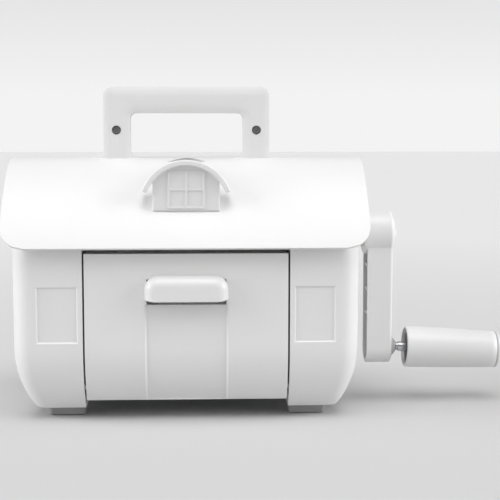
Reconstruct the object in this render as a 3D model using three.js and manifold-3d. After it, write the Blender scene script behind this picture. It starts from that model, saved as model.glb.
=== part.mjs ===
// A hand-cranked die cutting machine in the shape of a small house, in millimetres.
// Two steel rollers, geared together in the right-hand tower, squeeze a sandwich of cutting plates
// that is fed through the house from the front to the back. Two thick doors fold down as feed tables.
//
// Frame: +X to the crank, +Y to the rear, +Z up. While it is being built the machine is centred on
// x = 0, and the last group moves it so that the origin is at the bottom centre of its whole box.

import * as THREE from 'three';
import { mergeVertices } from 'three/addons/utils/BufferGeometryUtils.js';
import Module from 'manifold-3d';

const wasm = await Module();
wasm.setup();

// ---------------------------------------------------------------------------------------------
// Driving dimensions
// ---------------------------------------------------------------------------------------------

const GAP = 0.3; // between pieces that touch
const WALL = 2.5; // of a moulded shell

// House body: a rounded box whose walls curve under at the bottom
const BODY_HALF_X = 141;
const BODY_HALF_Y = 78;
const BODY_CORNER_R = 16;
const BODY_FLOOR_Z = 8.5;
const BODY_CURVE_Z = 62; // the walls are upright above this height
const FRONT_CURVE_R = 76;
const SIDE_CURVE_R = 103;
const TOWER_INNER_X = 83.8;

// Roof: a crown of small radius that runs on into two long flatter slopes
const ROOF_HALF_X = 148.6;
const ROOF_T = 3;
const RIDGE_Z = 214.8;
const CROWN_R = 65;
const CROWN_HALF_ANGLE = rad(40);
const SLOPE_R = 200;
const EAVE_Z = 144.1;
const EAVE_CORNER_X = 20;
const EAVE_CORNER_Z = 17;

// Carrying handle on the ridge
const HANDLE_HALF_X = 70.5;
const HANDLE_TOP_Z = 274.2;
const HANDLE_BAR = 22.2;
const HANDLE_HALF_Y = 13;
const HANDLE_CORNER_R = 8;
const HANDLE_HOLE_R = 5;
const HANDLE_ROOT_R = 7;
const HANDLE_CHAMFER = 7;
const HANDLE_CHAMFER_DEPTH = 3;
const HANDLE_SCREW_X = 60;
const HANDLE_SCREW_Z = 237.6;

// Dormer on the front slope
const DORMER_FACE_Y = -70;
const DORMER_HALF_X = 27;
const DORMER_SILL_Z = 172.3;
const DORMER_EAVE_Z = 200.3;
const DORMER_TOP_Z = 212.1;
const BRIM_TOP_Z = 213.6;
const BRIM_HALF_X = 36.5;
const BRIM_END_Z = 188.5;
const BRIM_FRONT_Y = -74;
const BRIM_BACK_Y = -60;
const SLOT_TOP_Z = 214.1;
const SLOT_BACK_Y = -9.5;
const SLOT_R = 42.8;

// Doors
const DOOR_HALF_X = 82.3;
const DOOR_TOP_Z = 138.8;
const DOOR_BOTTOM_Z = 16;
const DOOR_RIM_Y = 36;
const PLATFORM_Y = 33; // the feed table's face while the door is shut
const PLATFORM_LOW_Z = 20;
const PLATFORM_TOP_Z = 137;
const HINGE_Y = 62;
const HINGE_Z = 27;
const HINGE_ROD_R = 2.5;
const HOOD_HALF_X = 33.7;
const HOOD_LIP_Z = 100.3;
const HOOD_TOP_Z = 121.2;
const HOOD_DEPTH = 10.3;
const POCKET_LOW_Z = 97.4;
const CHANNEL_DEPTH = 1.2;

// Rollers and gears
const FEED_Z = 56; // top of the lower roller
const NIP = 14;
const ROLLER_R = 15;
const JOURNAL_R = 7;
const ROLLER_HALF_X = 81;
const LOWER_Z = FEED_Z - ROLLER_R;
const UPPER_Z = FEED_Z + NIP + ROLLER_R;
const MODULE = 2;
const PINION_TEETH = 14;
const DRIVE_TEETH = 50;
const SYNC_TEETH = (UPPER_Z - LOWER_Z) / MODULE;
const CRANK_Z = UPPER_Z + (MODULE * (PINION_TEETH + DRIVE_TEETH)) / 2;

// Frame plates
const PLATE_X = 84.5;
const PLATE_T = 3;
const PLATE_HALF_Y = 34;
const PLATE_TOP_Z = 168;
const BASE_HALF_X = 120;
const BASE_HALF_Y = 35;
const BASE_Z = 11.3;
const BASE_T = 3;

// Crank
const CRANK_SHAFT_R = 6;
const ARM_IN_X = 155.6;
const ARM_OUT_X = 177.7;
const ARM_HALF_Y = 14.1;
const ARM_EDGE_R = 2.5;
const HUB_R = 18.9;
const HUB_IN_X = 153;
const HUB_FACE_X = 176.2;
const HUB_DOME_X = 182.2;
const HUB_CAP_R = 15.5;
const SPINDLE_X = 178;
const SPINDLE_Z = 48.1;
const SPINDLE_R = 4.25;
const GRIP_DROOP = rad(2.3); // the spindle is canted away from the hub
const GRIP_START = 12.8;
const GRIP_END = 92;
const GRIP_R_IN = 18;
const GRIP_R_OUT = 15.8;
const GRIP_CAP_END = 95.7;

// Feet
const FOOT_X = 100.8;
const FOOT_HALF_X = 15.2;
const FOOT_Y = 36;
const FOOT_HALF_Y = 9.5;

// ---------------------------------------------------------------------------------------------
// Materials
// ---------------------------------------------------------------------------------------------

const white = new THREE.MeshStandardMaterial({ color: 0xf1f1f1, roughness: 0.32, metalness: 0 });
const inner = new THREE.MeshStandardMaterial({ color: 0xdcdcdc, roughness: 0.5, metalness: 0 });
const steel = new THREE.MeshStandardMaterial({ color: 0xb9bcc0, roughness: 0.28, metalness: 1 });
const sheet = new THREE.MeshStandardMaterial({ color: 0x9da1a6, roughness: 0.45, metalness: 1 });
const bronze = new THREE.MeshStandardMaterial({ color: 0xb08a4e, roughness: 0.4, metalness: 1 });
const dark = new THREE.MeshStandardMaterial({ color: 0x2a2a2c, roughness: 0.55, metalness: 0 });
const rubber = new THREE.MeshStandardMaterial({ color: 0x9b9b9b, roughness: 0.9, metalness: 0 });

// ---------------------------------------------------------------------------------------------
// Helpers: shapes become solids, solids are cut and joined, and a solid becomes a named mesh
// ---------------------------------------------------------------------------------------------

function rad(degrees) {
  return (degrees * Math.PI) / 180;
}

// A closed geometry as a manifold-3d solid, turned the right way out if its profile ran backwards.
function solid(geometry) {
  const bare = new THREE.BufferGeometry().setAttribute('position', geometry.attributes.position);
  bare.setIndex(geometry.index);
  const merged = mergeVertices(bare, 1e-4);
  const corners = merged.index.array;
  const kept = [];
  for (let i = 0; i < corners.length; i += 3) {
    const [a, b, c] = [corners[i], corners[i + 1], corners[i + 2]];
    if (a !== b && b !== c && c !== a) kept.push(a, b, c);
  }
  const make = (triangles) =>
    new wasm.Manifold(
      new wasm.Mesh({
        numProp: 3,
        vertProperties: new Float32Array(merged.attributes.position.array),
        triVerts: new Uint32Array(triangles),
      }),
    );
  const made = make(kept);
  return made.volume() > 0 ? made : make(kept.reverse());
}

function join(first, ...others) {
  return others.reduce((sum, other) => sum.add(other), first);
}

function cut(first, ...others) {
  return others.reduce((rest, other) => rest.subtract(other), first);
}

function mesh(name, body, material) {
  const found = body.getMesh();
  const geometry = new THREE.BufferGeometry();
  geometry.setAttribute('position', new THREE.BufferAttribute(found.vertProperties, 3));
  geometry.setIndex(new THREE.BufferAttribute(found.triVerts, 1));
  geometry.computeVertexNormals();
  const piece = new THREE.Mesh(geometry, material);
  piece.name = name;
  return piece;
}

const TO_X = new THREE.Matrix4().set(0, 0, 1, 0, 1, 0, 0, 0, 0, 1, 0, 0, 0, 0, 0, 1);
const TO_Y = new THREE.Matrix4().set(1, 0, 0, 0, 0, 0, -1, 0, 0, 1, 0, 0, 0, 0, 0, 1);

function extruded(shape, depth, options) {
  return new THREE.ExtrudeGeometry(shape, { depth, bevelEnabled: false, curveSegments: 5, ...options });
}

// A (y, z) outline swept from x0 to x1.
function prismX(shape, x0, x1, options) {
  return solid(extruded(shape, x1 - x0, options).applyMatrix4(TO_X).translate(x0, 0, 0));
}

// An (x, z) outline swept from y0 to y1.
function prismY(shape, y0, y1, options) {
  return solid(extruded(shape, y1 - y0, options).applyMatrix4(TO_Y).translate(0, y1, 0));
}

// An (x, y) outline swept from z0 to z1.
function prismZ(shape, z0, z1, options) {
  return solid(extruded(shape, z1 - z0, options).translate(0, 0, z0));
}

function block(x0, x1, y0, y1, z0, z1) {
  const size = new THREE.BoxGeometry(x1 - x0, y1 - y0, z1 - z0);
  return solid(size.translate((x0 + x1) / 2, (y0 + y1) / 2, (z0 + z1) / 2));
}

// A profile of [x, radius] pairs turned about an axis along X at (y, z).
function turned(profile, y, z, segments = 32) {
  const points = profile.map(([x, r]) => new THREE.Vector2(r, x));
  const lathe = new THREE.LatheGeometry(points, segments).rotateZ(-Math.PI / 2);
  return solid(lathe.translate(0, y, z));
}

function rod(r, x0, x1, y, z, segments) {
  return turned([[x0, 0], [x0, r], [x1, r], [x1, 0]], y, z, segments);
}

function pinY(r, y0, y1, x, z, segments = 12) {
  return solid(new THREE.CylinderGeometry(r, r, y1 - y0, segments).translate(x, (y0 + y1) / 2, z));
}

function pinZ(r, z0, z1, x, y, segments = 12) {
  const pin = new THREE.CylinderGeometry(r, r, z1 - z0, segments).rotateX(Math.PI / 2);
  return solid(pin.translate(x, y, (z0 + z1) / 2));
}

function mirrorX(body) {
  return body.mirror([1, 0, 0]);
}

function mirrorY(body) {
  return body.mirror([0, 1, 0]);
}

function roundedRectangle(x0, x1, y0, y1, r) {
  const shape = new THREE.Shape();
  shape.absarc(x1 - r, y1 - r, r, 0, Math.PI / 2);
  shape.absarc(x0 + r, y1 - r, r, Math.PI / 2, Math.PI);
  shape.absarc(x0 + r, y0 + r, r, Math.PI, 1.5 * Math.PI);
  shape.absarc(x1 - r, y0 + r, r, 1.5 * Math.PI, 2 * Math.PI);
  shape.closePath();
  return shape;
}

// ---------------------------------------------------------------------------------------------
// The two big outer forms: the house body and the roof
// ---------------------------------------------------------------------------------------------

function curveInset(radius, z) {
  const below = Math.max(0, BODY_CURVE_Z - z);
  return radius - Math.sqrt(radius * radius - below * below);
}

// The whole body as one solid, shrunk by an inset: a rounded plan swept up in levels, each level
// pulled in where the walls curve under.
function bodyForm(inset) {
  const topAngle = Math.asin((BODY_CURVE_Z - BODY_FLOOR_Z - inset) / FRONT_CURVE_R);
  const steps = 7;
  const levels = [];
  for (let i = 0; i <= steps; i++) {
    levels.push(BODY_CURVE_Z - FRONT_CURVE_R * Math.sin(topAngle * (1 - i / steps)));
  }
  levels.push(RIDGE_Z);
  const halfX = BODY_HALF_X - inset;
  const halfY = BODY_HALF_Y - inset;
  const plan = roundedRectangle(-halfX, halfX, -halfY, halfY, BODY_CORNER_R - inset);
  const form = extruded(plan, levels.length - 1, { steps: levels.length - 1, curveSegments: 3 });
  const at = form.attributes.position;
  for (let i = 0; i < at.count; i++) {
    const z = levels[Math.round(at.getZ(i))];
    at.setX(i, at.getX(i) * (1 - curveInset(SIDE_CURVE_R, z) / halfX));
    at.setY(i, at.getY(i) * (1 - curveInset(FRONT_CURVE_R, z) / halfY));
    at.setZ(i, z);
  }
  return solid(form);
}

// The (y, z) outline of everything under the roof's outer surface, shrunk by an inset.
function roofOutline(inset, lowZ) {
  const crown = { z: RIDGE_Z - CROWN_R, r: CROWN_R - inset };
  const slope = {
    y: (CROWN_R - SLOPE_R) * Math.sin(CROWN_HALF_ANGLE),
    z: crown.z + (CROWN_R - SLOPE_R) * Math.cos(CROWN_HALF_ANGLE),
    r: SLOPE_R - inset,
  };
  const low = Math.asin((lowZ - slope.z) / slope.r);
  const high = Math.PI / 2 - CROWN_HALF_ANGLE;
  const shape = new THREE.Shape();
  shape.absarc(slope.y, slope.z, slope.r, low, high);
  shape.absarc(0, crown.z, crown.r, high, Math.PI - high);
  shape.absarc(-slope.y, slope.z, slope.r, Math.PI - high, Math.PI - low);
  shape.closePath();
  return shape;
}

function underRoof(inset, lowZ, halfX) {
  return prismX(roofOutline(inset, lowZ), -halfX, halfX, { curveSegments: 4 });
}

// ---------------------------------------------------------------------------------------------
// Towers: left and right housings with window panels, open between the doors for the frame plates
// ---------------------------------------------------------------------------------------------

function windowPanel(side) {
  const panel = { x0: 88, x1: 120.5, z0: 66.5, z1: 111.5, depth: 0.8 };
  const y0 = side < 0 ? -BODY_HALF_Y - 1 : BODY_HALF_Y - panel.depth;
  const y1 = side < 0 ? -BODY_HALF_Y + panel.depth : BODY_HALF_Y + 1;
  return block(panel.x0, panel.x1, y0, y1, panel.z0, panel.z1);
}

function tower() {
  const far = 200;
  const outer = bodyForm(0)
    .intersect(block(TOWER_INNER_X, far, -far, far, 0, far * 2))
    .intersect(underRoof(ROOF_T + GAP, 0, far));
  const hollow = bodyForm(WALL)
    .intersect(block(TOWER_INNER_X + WALL, far, -far, far, 0, far * 2))
    .intersect(underRoof(ROOF_T + GAP + WALL, 0, far));
  const doorwayHalfY = PLATE_HALF_Y + 2;
  const passage = block(TOWER_INNER_X - 1, TOWER_INNER_X + WALL + 1, -doorwayHalfY, doorwayHalfY,
    BODY_FLOOR_Z + WALL, PLATE_TOP_Z + 4);
  const sockets = [-1, 1].map((side) =>
    rod(HINGE_ROD_R + GAP, TOWER_INNER_X - 1, TOWER_INNER_X + WALL + 1, side * HINGE_Y, HINGE_Z, 16));
  return cut(outer, hollow, passage, ...sockets, windowPanel(-1), windowPanel(1));
}

const CRANK_BUSH_R = 9;

function rightHousing() {
  const hole = rod(CRANK_BUSH_R + GAP, BODY_HALF_X - 5, BODY_HALF_X + 5, 0, CRANK_Z);
  return cut(tower(), hole);
}

// ---------------------------------------------------------------------------------------------
// Roof halves: each is half of the roof sheet with half of the carrying handle
// ---------------------------------------------------------------------------------------------

function eaveOutline() {
  const shape = new THREE.Shape();
  const quarter = Math.PI / 2;
  const topZ = HANDLE_TOP_Z + 10;
  const cornerZ = EAVE_Z + EAVE_CORNER_Z;
  const cornerX = ROOF_HALF_X - EAVE_CORNER_X;
  shape.moveTo(ROOF_HALF_X, topZ);
  shape.lineTo(-ROOF_HALF_X, topZ);
  shape.lineTo(-ROOF_HALF_X, cornerZ);
  shape.absellipse(-cornerX, cornerZ, EAVE_CORNER_X, EAVE_CORNER_Z, 2 * quarter, 3 * quarter);
  shape.absellipse(cornerX, cornerZ, EAVE_CORNER_X, EAVE_CORNER_Z, 3 * quarter, 4 * quarter);
  shape.closePath();
  return shape;
}

function roofSheet() {
  const sheetBody = cut(
    underRoof(0, EAVE_Z, ROOF_HALF_X),
    underRoof(ROOF_T, EAVE_Z - 1, ROOF_HALF_X + 1),
  );
  const reach = SLOPE_R;
  return sheetBody.intersect(prismY(eaveOutline(), -reach, reach));
}

// Front outline of the handle: a bar and two uprights that flare out where they meet the ridge.
function handleOutline(inset) {
  const footZ = RIDGE_Z - 30;
  const outX = HANDLE_HALF_X - inset;
  const topZ = HANDLE_TOP_Z - inset;
  const r = HANDLE_CORNER_R - inset;
  const root = { x: HANDLE_HALF_X + HANDLE_ROOT_R, z: RIDGE_Z + HANDLE_ROOT_R - 1, r: HANDLE_ROOT_R + inset };
  const shape = new THREE.Shape();
  shape.moveTo(-root.x, footZ);
  shape.absarc(-root.x, root.z, root.r, 1.5 * Math.PI, 2 * Math.PI);
  shape.absarc(-outX + r, topZ - r, r, Math.PI, Math.PI / 2, true);
  shape.absarc(outX - r, topZ - r, r, Math.PI / 2, 0, true);
  shape.absarc(root.x, root.z, root.r, Math.PI, 1.5 * Math.PI);
  shape.lineTo(root.x, footZ);
  shape.closePath();
  return shape;
}

function fingerHole(inset) {
  const halfX = HANDLE_HALF_X - HANDLE_BAR + inset;
  const topZ = HANDLE_TOP_Z - HANDLE_BAR + inset;
  return roundedRectangle(-halfX, halfX, RIDGE_Z - 12, topZ, HANDLE_HOLE_R + inset);
}

function handleHalf() {
  const edge = HANDLE_CHAMFER;
  const outline = handleOutline(edge);
  outline.holes.push(fingerHole(edge));
  const depth = HANDLE_HALF_Y - HANDLE_CHAMFER_DEPTH;
  const chamfered = { bevelEnabled: true, bevelThickness: HANDLE_CHAMFER_DEPTH, bevelSize: edge,
    bevelSegments: 1, curveSegments: 4 };
  const bar = prismY(outline, -depth, depth, chamfered);
  const above = cut(bar, underRoof(ROOF_T - 0.5, EAVE_Z, ROOF_HALF_X));
  return above.intersect(block(-100, 100, -HANDLE_HALF_Y - 1, 0, 0, 300));
}

function handleCavity() {
  const around = prismY(handleOutline(WALL + 4), -HANDLE_HALF_Y + WALL, 1, { curveSegments: 2 });
  const hole = prismY(fingerHole(WALL + 4), -50, 50, { curveSegments: 2 });
  const floor = block(-100, 100, -50, 50, 0, RIDGE_Z + 2);
  return cut(around, hole, floor);
}

const SCREW_HEAD_R = 3.2;
const SCREW_R = 1.6;

function screwBoss(x) {
  return pinY(5, -HANDLE_HALF_Y + 1, -GAP / 2, x, HANDLE_SCREW_Z);
}

function roofHalf() {
  const half = block(-200, 200, -200, -GAP / 2, 0, 400);
  const shell = cut(join(roofSheet(), handleHalf()), handleCavity());
  const bosses = [-1, 1].map((side) => screwBoss(side * HANDLE_SCREW_X));
  return join(shell, ...bosses).intersect(half);
}

function archOutline(halfX, sillZ, eaveZ, topZ) {
  const rise = topZ - eaveZ;
  const r = (halfX * halfX + rise * rise) / (2 * rise);
  const spread = Math.asin(halfX / r);
  const shape = new THREE.Shape();
  shape.moveTo(-halfX, sillZ);
  shape.lineTo(halfX, sillZ);
  shape.lineTo(halfX, eaveZ);
  shape.absarc(0, topZ - r, r, Math.PI / 2 - spread, Math.PI / 2 + spread);
  shape.closePath();
  return shape;
}

function slotOutline() {
  const shape = new THREE.Shape();
  shape.absarc(0, SLOT_TOP_Z - SLOT_R, SLOT_R, rad(68), rad(112));
  shape.lineTo(0, DORMER_TOP_Z - 8);
  shape.closePath();
  return shape;
}

function roofFront() {
  const dormerSeat = prismY(
    archOutline(DORMER_HALF_X + GAP, DORMER_SILL_Z, DORMER_EAVE_Z, DORMER_TOP_Z + GAP), -90, -12);
  const slot = prismY(slotOutline(), -90, SLOT_BACK_Y);
  const screwHoles = [-1, 1].flatMap((side) => [
    pinY(SCREW_R + GAP, -20, 5, side * HANDLE_SCREW_X, HANDLE_SCREW_Z),
    pinY(SCREW_HEAD_R + 0.7, -20, -HANDLE_HALF_Y + 3, side * HANDLE_SCREW_X, HANDLE_SCREW_Z),
  ]);
  return cut(roofHalf(), dormerSeat, slot, ...screwHoles);
}

function roofRear() {
  const pilotHoles = [-1, 1].map((side) =>
    pinY(SCREW_R + GAP, -9, 5, side * HANDLE_SCREW_X, HANDLE_SCREW_Z));
  return mirrorY(cut(roofHalf(), ...pilotHoles));
}

function handleScrew(side) {
  const x = side * HANDLE_SCREW_X;
  const headY = -HANDLE_HALF_Y + 3 - GAP;
  const head = pinY(SCREW_HEAD_R, headY - 2, headY, x, HANDLE_SCREW_Z);
  const shank = pinY(SCREW_R, headY - 1, 8, x, HANDLE_SCREW_Z);
  const bar = { long: 2.2, half: 0.4, deep: 1 };
  const recess = [
    block(x - bar.long, x + bar.long, headY - 3, headY - 2 + bar.deep,
      HANDLE_SCREW_Z - bar.half, HANDLE_SCREW_Z + bar.half),
    block(x - bar.half, x + bar.half, headY - 3, headY - 2 + bar.deep,
      HANDLE_SCREW_Z - bar.long, HANDLE_SCREW_Z + bar.long),
  ];
  return cut(join(head, shank), ...recess);
}

// ---------------------------------------------------------------------------------------------
// Dormer: a window wall under an eyebrow brim, let into the front roof half
// ---------------------------------------------------------------------------------------------

function brimOutline() {
  const rise = BRIM_TOP_Z - BRIM_END_Z;
  const r = (BRIM_HALF_X * BRIM_HALF_X + rise * rise) / (2 * rise);
  const spread = Math.asin(BRIM_HALF_X / r);
  const thick = 3.2;
  const z = BRIM_TOP_Z - r;
  const shape = new THREE.Shape();
  shape.absarc(0, z, r, Math.PI / 2 - spread, Math.PI / 2 + spread);
  shape.absarc(0, z, r - thick, Math.PI / 2 + spread, Math.PI / 2 - spread, true);
  shape.closePath();
  return shape;
}

function windowBars() {
  const halfX = 14.3;
  const z0 = 175.2;
  const z1 = 204.2;
  const bar = 1.2;
  const y0 = DORMER_FACE_Y - 1;
  const y1 = DORMER_FACE_Y + 0.5;
  const midZ = (z0 + z1) / 2;
  const upright = (x) => block(x - bar / 2, x + bar / 2, y0, y1, z0, z1);
  const across = (z) => block(-halfX, halfX, y0, y1, z - bar / 2, z + bar / 2);
  return join(upright(-halfX), upright(0), upright(halfX), across(z0), across(midZ), across(z1));
}

function dormer() {
  const outer = prismY(
    archOutline(DORMER_HALF_X, DORMER_SILL_Z + GAP, DORMER_EAVE_Z, DORMER_TOP_Z), DORMER_FACE_Y, -14);
  const hollow = prismY(
    archOutline(DORMER_HALF_X - WALL, 150, DORMER_EAVE_Z, DORMER_TOP_Z - WALL),
    DORMER_FACE_Y + WALL, -10);
  const brim = cut(prismY(brimOutline(), BRIM_FRONT_Y, BRIM_BACK_Y), underRoof(-GAP, 100, ROOF_HALF_X));
  return cut(join(outer, windowBars(), brim), hollow, underRoof(ROOF_T - 0.5, 100, ROOF_HALF_X));
}

// ---------------------------------------------------------------------------------------------
// Doors: a curved outer shell with a hooded pull, and a flat feed table that closes it from inside
// ---------------------------------------------------------------------------------------------

// Side outline of the front door, shrunk by an inset. Its back is open at the rim.
function doorOutline(inset, rimY) {
  const r = FRONT_CURVE_R - inset;
  const centreY = -BODY_HALF_Y + FRONT_CURVE_R;
  const end = Math.asin((BODY_CURVE_Z - DOOR_BOTTOM_Z - inset) / r);
  const shape = new THREE.Shape();
  shape.moveTo(rimY, DOOR_TOP_Z - inset);
  shape.lineTo(-BODY_HALF_Y + inset, DOOR_TOP_Z - inset);
  shape.absarc(centreY, BODY_CURVE_Z, r, Math.PI, Math.PI + end);
  shape.lineTo(rimY, PLATFORM_LOW_Z + inset);
  shape.closePath();
  return shape;
}

function hood() {
  const round = 6.5;
  const corner = 4;
  const outline = roundedRectangle(-HOOD_HALF_X + round, HOOD_HALF_X - round,
    HOOD_LIP_Z - 15, HOOD_TOP_Z - round, corner);
  const bump = prismY(outline, -BODY_HALF_Y - HOOD_DEPTH + round, -BODY_HALF_Y + 1, {
    bevelEnabled: true, bevelThickness: round, bevelSize: round, bevelSegments: 3, curveSegments: 3 });
  const front = block(-50, 50, -100, -BODY_HALF_Y + 1, HOOD_LIP_Z, 200);
  return bump.intersect(front);
}

// The cup behind the hood, grown by a margin where it is used to cut its seat in the door.
function cupBlock(margin) {
  return block(-CUP.halfX - margin, CUP.halfX + margin, -BODY_HALF_Y + CHANNEL_DEPTH, CUP.backY + margin,
    CUP.lowZ - margin, CUP.topZ + margin);
}

const POCKET = { halfX: 31, frontY: -86, backY: -70.2, topZ: 118.8 };
const CUP = { halfX: 33, backY: -68.2, lowZ: POCKET_LOW_Z - 2, topZ: HOOD_TOP_Z - 0.6 };

function fingerPocket() {
  const under = { bevelEnabled: true, bevelThickness: 4, bevelSize: 4, bevelSegments: 2, curveSegments: 2 };
  const outline = roundedRectangle(-POCKET.halfX + 4, POCKET.halfX - 4, POCKET_LOW_Z - 20,
    POCKET.topZ - 4, 3);
  const round = prismY(outline, POCKET.frontY + 4, POCKET.backY - 4, under);
  return round.intersect(block(-50, 50, -100, -60, POCKET_LOW_Z, 200));
}

function doorPull() {
  const apart = block(-100, 100, -100, -BODY_HALF_Y - GAP, 0, 300);
  const neck = cupBlock(0).intersect(block(-100, 100, -BODY_HALF_Y + CHANNEL_DEPTH, 0, 0, 300));
  const bridge = block(-CUP.halfX, CUP.halfX, -BODY_HALF_Y - 1, -BODY_HALF_Y + WALL, HOOD_LIP_Z, CUP.topZ);
  return cut(join(hood().intersect(apart), bridge, neck), fingerPocket());
}

function doorShell() {
  const outer = prismX(doorOutline(0, -DOOR_RIM_Y - GAP), -DOOR_HALF_X, DOOR_HALF_X);
  const cavity = prismX(doorOutline(WALL, -DOOR_RIM_Y + 5), -DOOR_HALF_X + WALL, DOOR_HALF_X - WALL);
  const seat = block(-CUP.halfX - GAP, CUP.halfX + GAP, -100, -50, CUP.lowZ - GAP, CUP.topZ + GAP);
  const channel = cut(
    prismX(doorOutline(-1, -50), -HOOD_HALF_X, HOOD_HALF_X),
    prismX(doorOutline(CHANNEL_DEPTH, -40), -HOOD_HALF_X - 1, HOOD_HALF_X + 1),
    block(-50, 50, -100, 0, POCKET_LOW_Z, 200),
    block(-50, 50, -58.5, 0, 0, 200),
  );
  const rodHole = rod(HINGE_ROD_R + GAP, -DOOR_HALF_X - 1, DOOR_HALF_X + 1, -HINGE_Y, HINGE_Z, 16);
  return cut(outer, cavity, channel, seat, rodHole);
}

function doorPlatform() {
  const table = block(-DOOR_HALF_X, DOOR_HALF_X, -DOOR_RIM_Y, -PLATFORM_Y, PLATFORM_LOW_Z, PLATFORM_TOP_Z);
  const ribZ = [45, 70, 95];
  const ribHalfX = DOOR_HALF_X - WALL - 1;
  const ribs = ribZ.map((z) => block(-ribHalfX, ribHalfX, -DOOR_RIM_Y - 6, -DOOR_RIM_Y + 1, z, z + 2));
  return join(table, ...ribs);
}

const CATCH = { halfX: 9, z0: 125, z1: 135 };

function doorStrike() {
  return block(-CATCH.halfX, CATCH.halfX, -PLATFORM_Y + GAP, -PLATFORM_Y + 1.2, CATCH.z0, CATCH.z1);
}

function doorMeshes(name, turn) {
  return [
    mesh(`${name}_door_shell`, turn(doorShell()), white),
    mesh(`${name}_door_pull`, turn(doorPull()), white),
    mesh(`${name}_door_platform`, turn(doorPlatform()), inner),
    mesh(`${name}_door_strike`, turn(doorStrike()), steel),
  ];
}

// ---------------------------------------------------------------------------------------------
// Chassis: base plate, bent frame plates, rails, tie rods, feed beds, bushes, catches and hinges
// ---------------------------------------------------------------------------------------------

const BUSH_R = 10;
const FRAME_SCREW = { x: 77, y: 26.5 };

function basePlate() {
  const plate = prismZ(roundedRectangle(-BASE_HALF_X, BASE_HALF_X, -BASE_HALF_Y, BASE_HALF_Y, 6),
    BASE_Z, BASE_Z + BASE_T);
  const holes = [];
  for (const x of [-FRAME_SCREW.x, FRAME_SCREW.x]) {
    for (const y of [-FRAME_SCREW.y, FRAME_SCREW.y]) {
      holes.push(pinZ(2 + GAP, BASE_Z - 1, BASE_Z + BASE_T + 1, x, y));
    }
  }
  return cut(plate, ...holes);
}

function framePlate(hasCrank) {
  const foot = BASE_Z + BASE_T + GAP;
  const outline = roundedRectangle(-PLATE_HALF_Y, PLATE_HALF_Y, foot, PLATE_TOP_Z, 8);
  const upright = prismX(outline, PLATE_X, PLATE_X + PLATE_T);
  const tabs = [-1, 1].flatMap((side) => {
    const y0 = side < 0 ? -31.5 : 21;
    const tab = block(FRAME_SCREW.x - 7, PLATE_X + 1, y0, y0 + 10.5, foot, foot + 2.5);
    return cut(tab, pinZ(2 + GAP, 10, 20, FRAME_SCREW.x, side * FRAME_SCREW.y));
  });
  const through = (r, z, y = 0) => rod(r, PLATE_X - 5, PLATE_X + 10, y, z, 20);
  const holes = [through(BUSH_R + GAP, LOWER_Z), through(BUSH_R + GAP, UPPER_Z)];
  if (hasCrank) holes.push(through(CRANK_BUSH_R + GAP, CRANK_Z));
  const lightening = hasCrank ? [] : [through(12, 135)];
  return cut(join(upright, ...tabs), ...holes, ...lightening);
}

const RAIL = { y0: 19, y1: 25.4, z0: 123, z1: 137 };
const TIE_ROD = { r: 4, y: 18, z: 22 };
const BETWEEN_PLATES_X = PLATE_X - GAP;

function topRail() {
  return block(-BETWEEN_PLATES_X, BETWEEN_PLATES_X, -RAIL.y1, -RAIL.y0, RAIL.z0, RAIL.z1);
}

function tieRod() {
  return rod(TIE_ROD.r, -BETWEEN_PLATES_X, BETWEEN_PLATES_X, -TIE_ROD.y, TIE_ROD.z, 16);
}

function catchMagnet() {
  return block(-CATCH.halfX, CATCH.halfX, -PLATFORM_Y + 1.2 + GAP, -RAIL.y1 - GAP, CATCH.z0, CATCH.z1);
}

function feedBed() {
  const topZ = FEED_Z - 0.2;
  const top = block(-BETWEEN_PLATES_X, BETWEEN_PLATES_X, -31, -12, topZ - 3, topZ);
  const skirt = block(-BETWEEN_PLATES_X, BETWEEN_PLATES_X, -31, -28.5, topZ - 13, topZ);
  return join(top, skirt);
}

function flangedBush(r, bore, flangeR, x0, x1, x2, z) {
  const profile = [[x0, bore], [x0, flangeR], [x1, flangeR], [x1, r], [x2, r], [x2, bore], [x0, bore]];
  return turned(profile, 0, z, 16);
}

function rollerBush(z) {
  return flangedBush(BUSH_R, JOURNAL_R + GAP, 13, PLATE_X - 2.5, PLATE_X - GAP, PLATE_X + 6, z);
}

function crankBushes() {
  const bore = CRANK_SHAFT_R + GAP;
  const face = BODY_HALF_X + GAP;
  return {
    inner: flangedBush(CRANK_BUSH_R, bore, 12, PLATE_X - 2.5, PLATE_X - GAP, PLATE_X + 6, CRANK_Z),
    outer: turned([[face - 5, bore], [face - 5, CRANK_BUSH_R], [face, CRANK_BUSH_R], [face, 13],
      [face + 2, 13], [face + 2, bore], [face - 5, bore]], 0, CRANK_Z, 16),
  };
}

function hingeRod() {
  const end = TOWER_INNER_X + WALL;
  return rod(HINGE_ROD_R, -end, end, -HINGE_Y, HINGE_Z, 16);
}

function foot() {
  const pad = roundedRectangle(FOOT_X - FOOT_HALF_X, FOOT_X + FOOT_HALF_X, -FOOT_Y - FOOT_HALF_Y,
    -FOOT_Y + FOOT_HALF_Y, 3);
  return prismZ(pad, 0, BODY_FLOOR_Z - GAP, { curveSegments: 3 });
}

function frameScrew() {
  const top = BASE_Z + BASE_T + GAP + 2.5 + GAP;
  const head = pinZ(3.6, top, top + 2.2, FRAME_SCREW.x, -FRAME_SCREW.y);
  const shank = pinZ(2, BASE_Z, top + 1, FRAME_SCREW.x, -FRAME_SCREW.y);
  return join(head, shank);
}

// ---------------------------------------------------------------------------------------------
// Rollers and gears
// ---------------------------------------------------------------------------------------------

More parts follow.
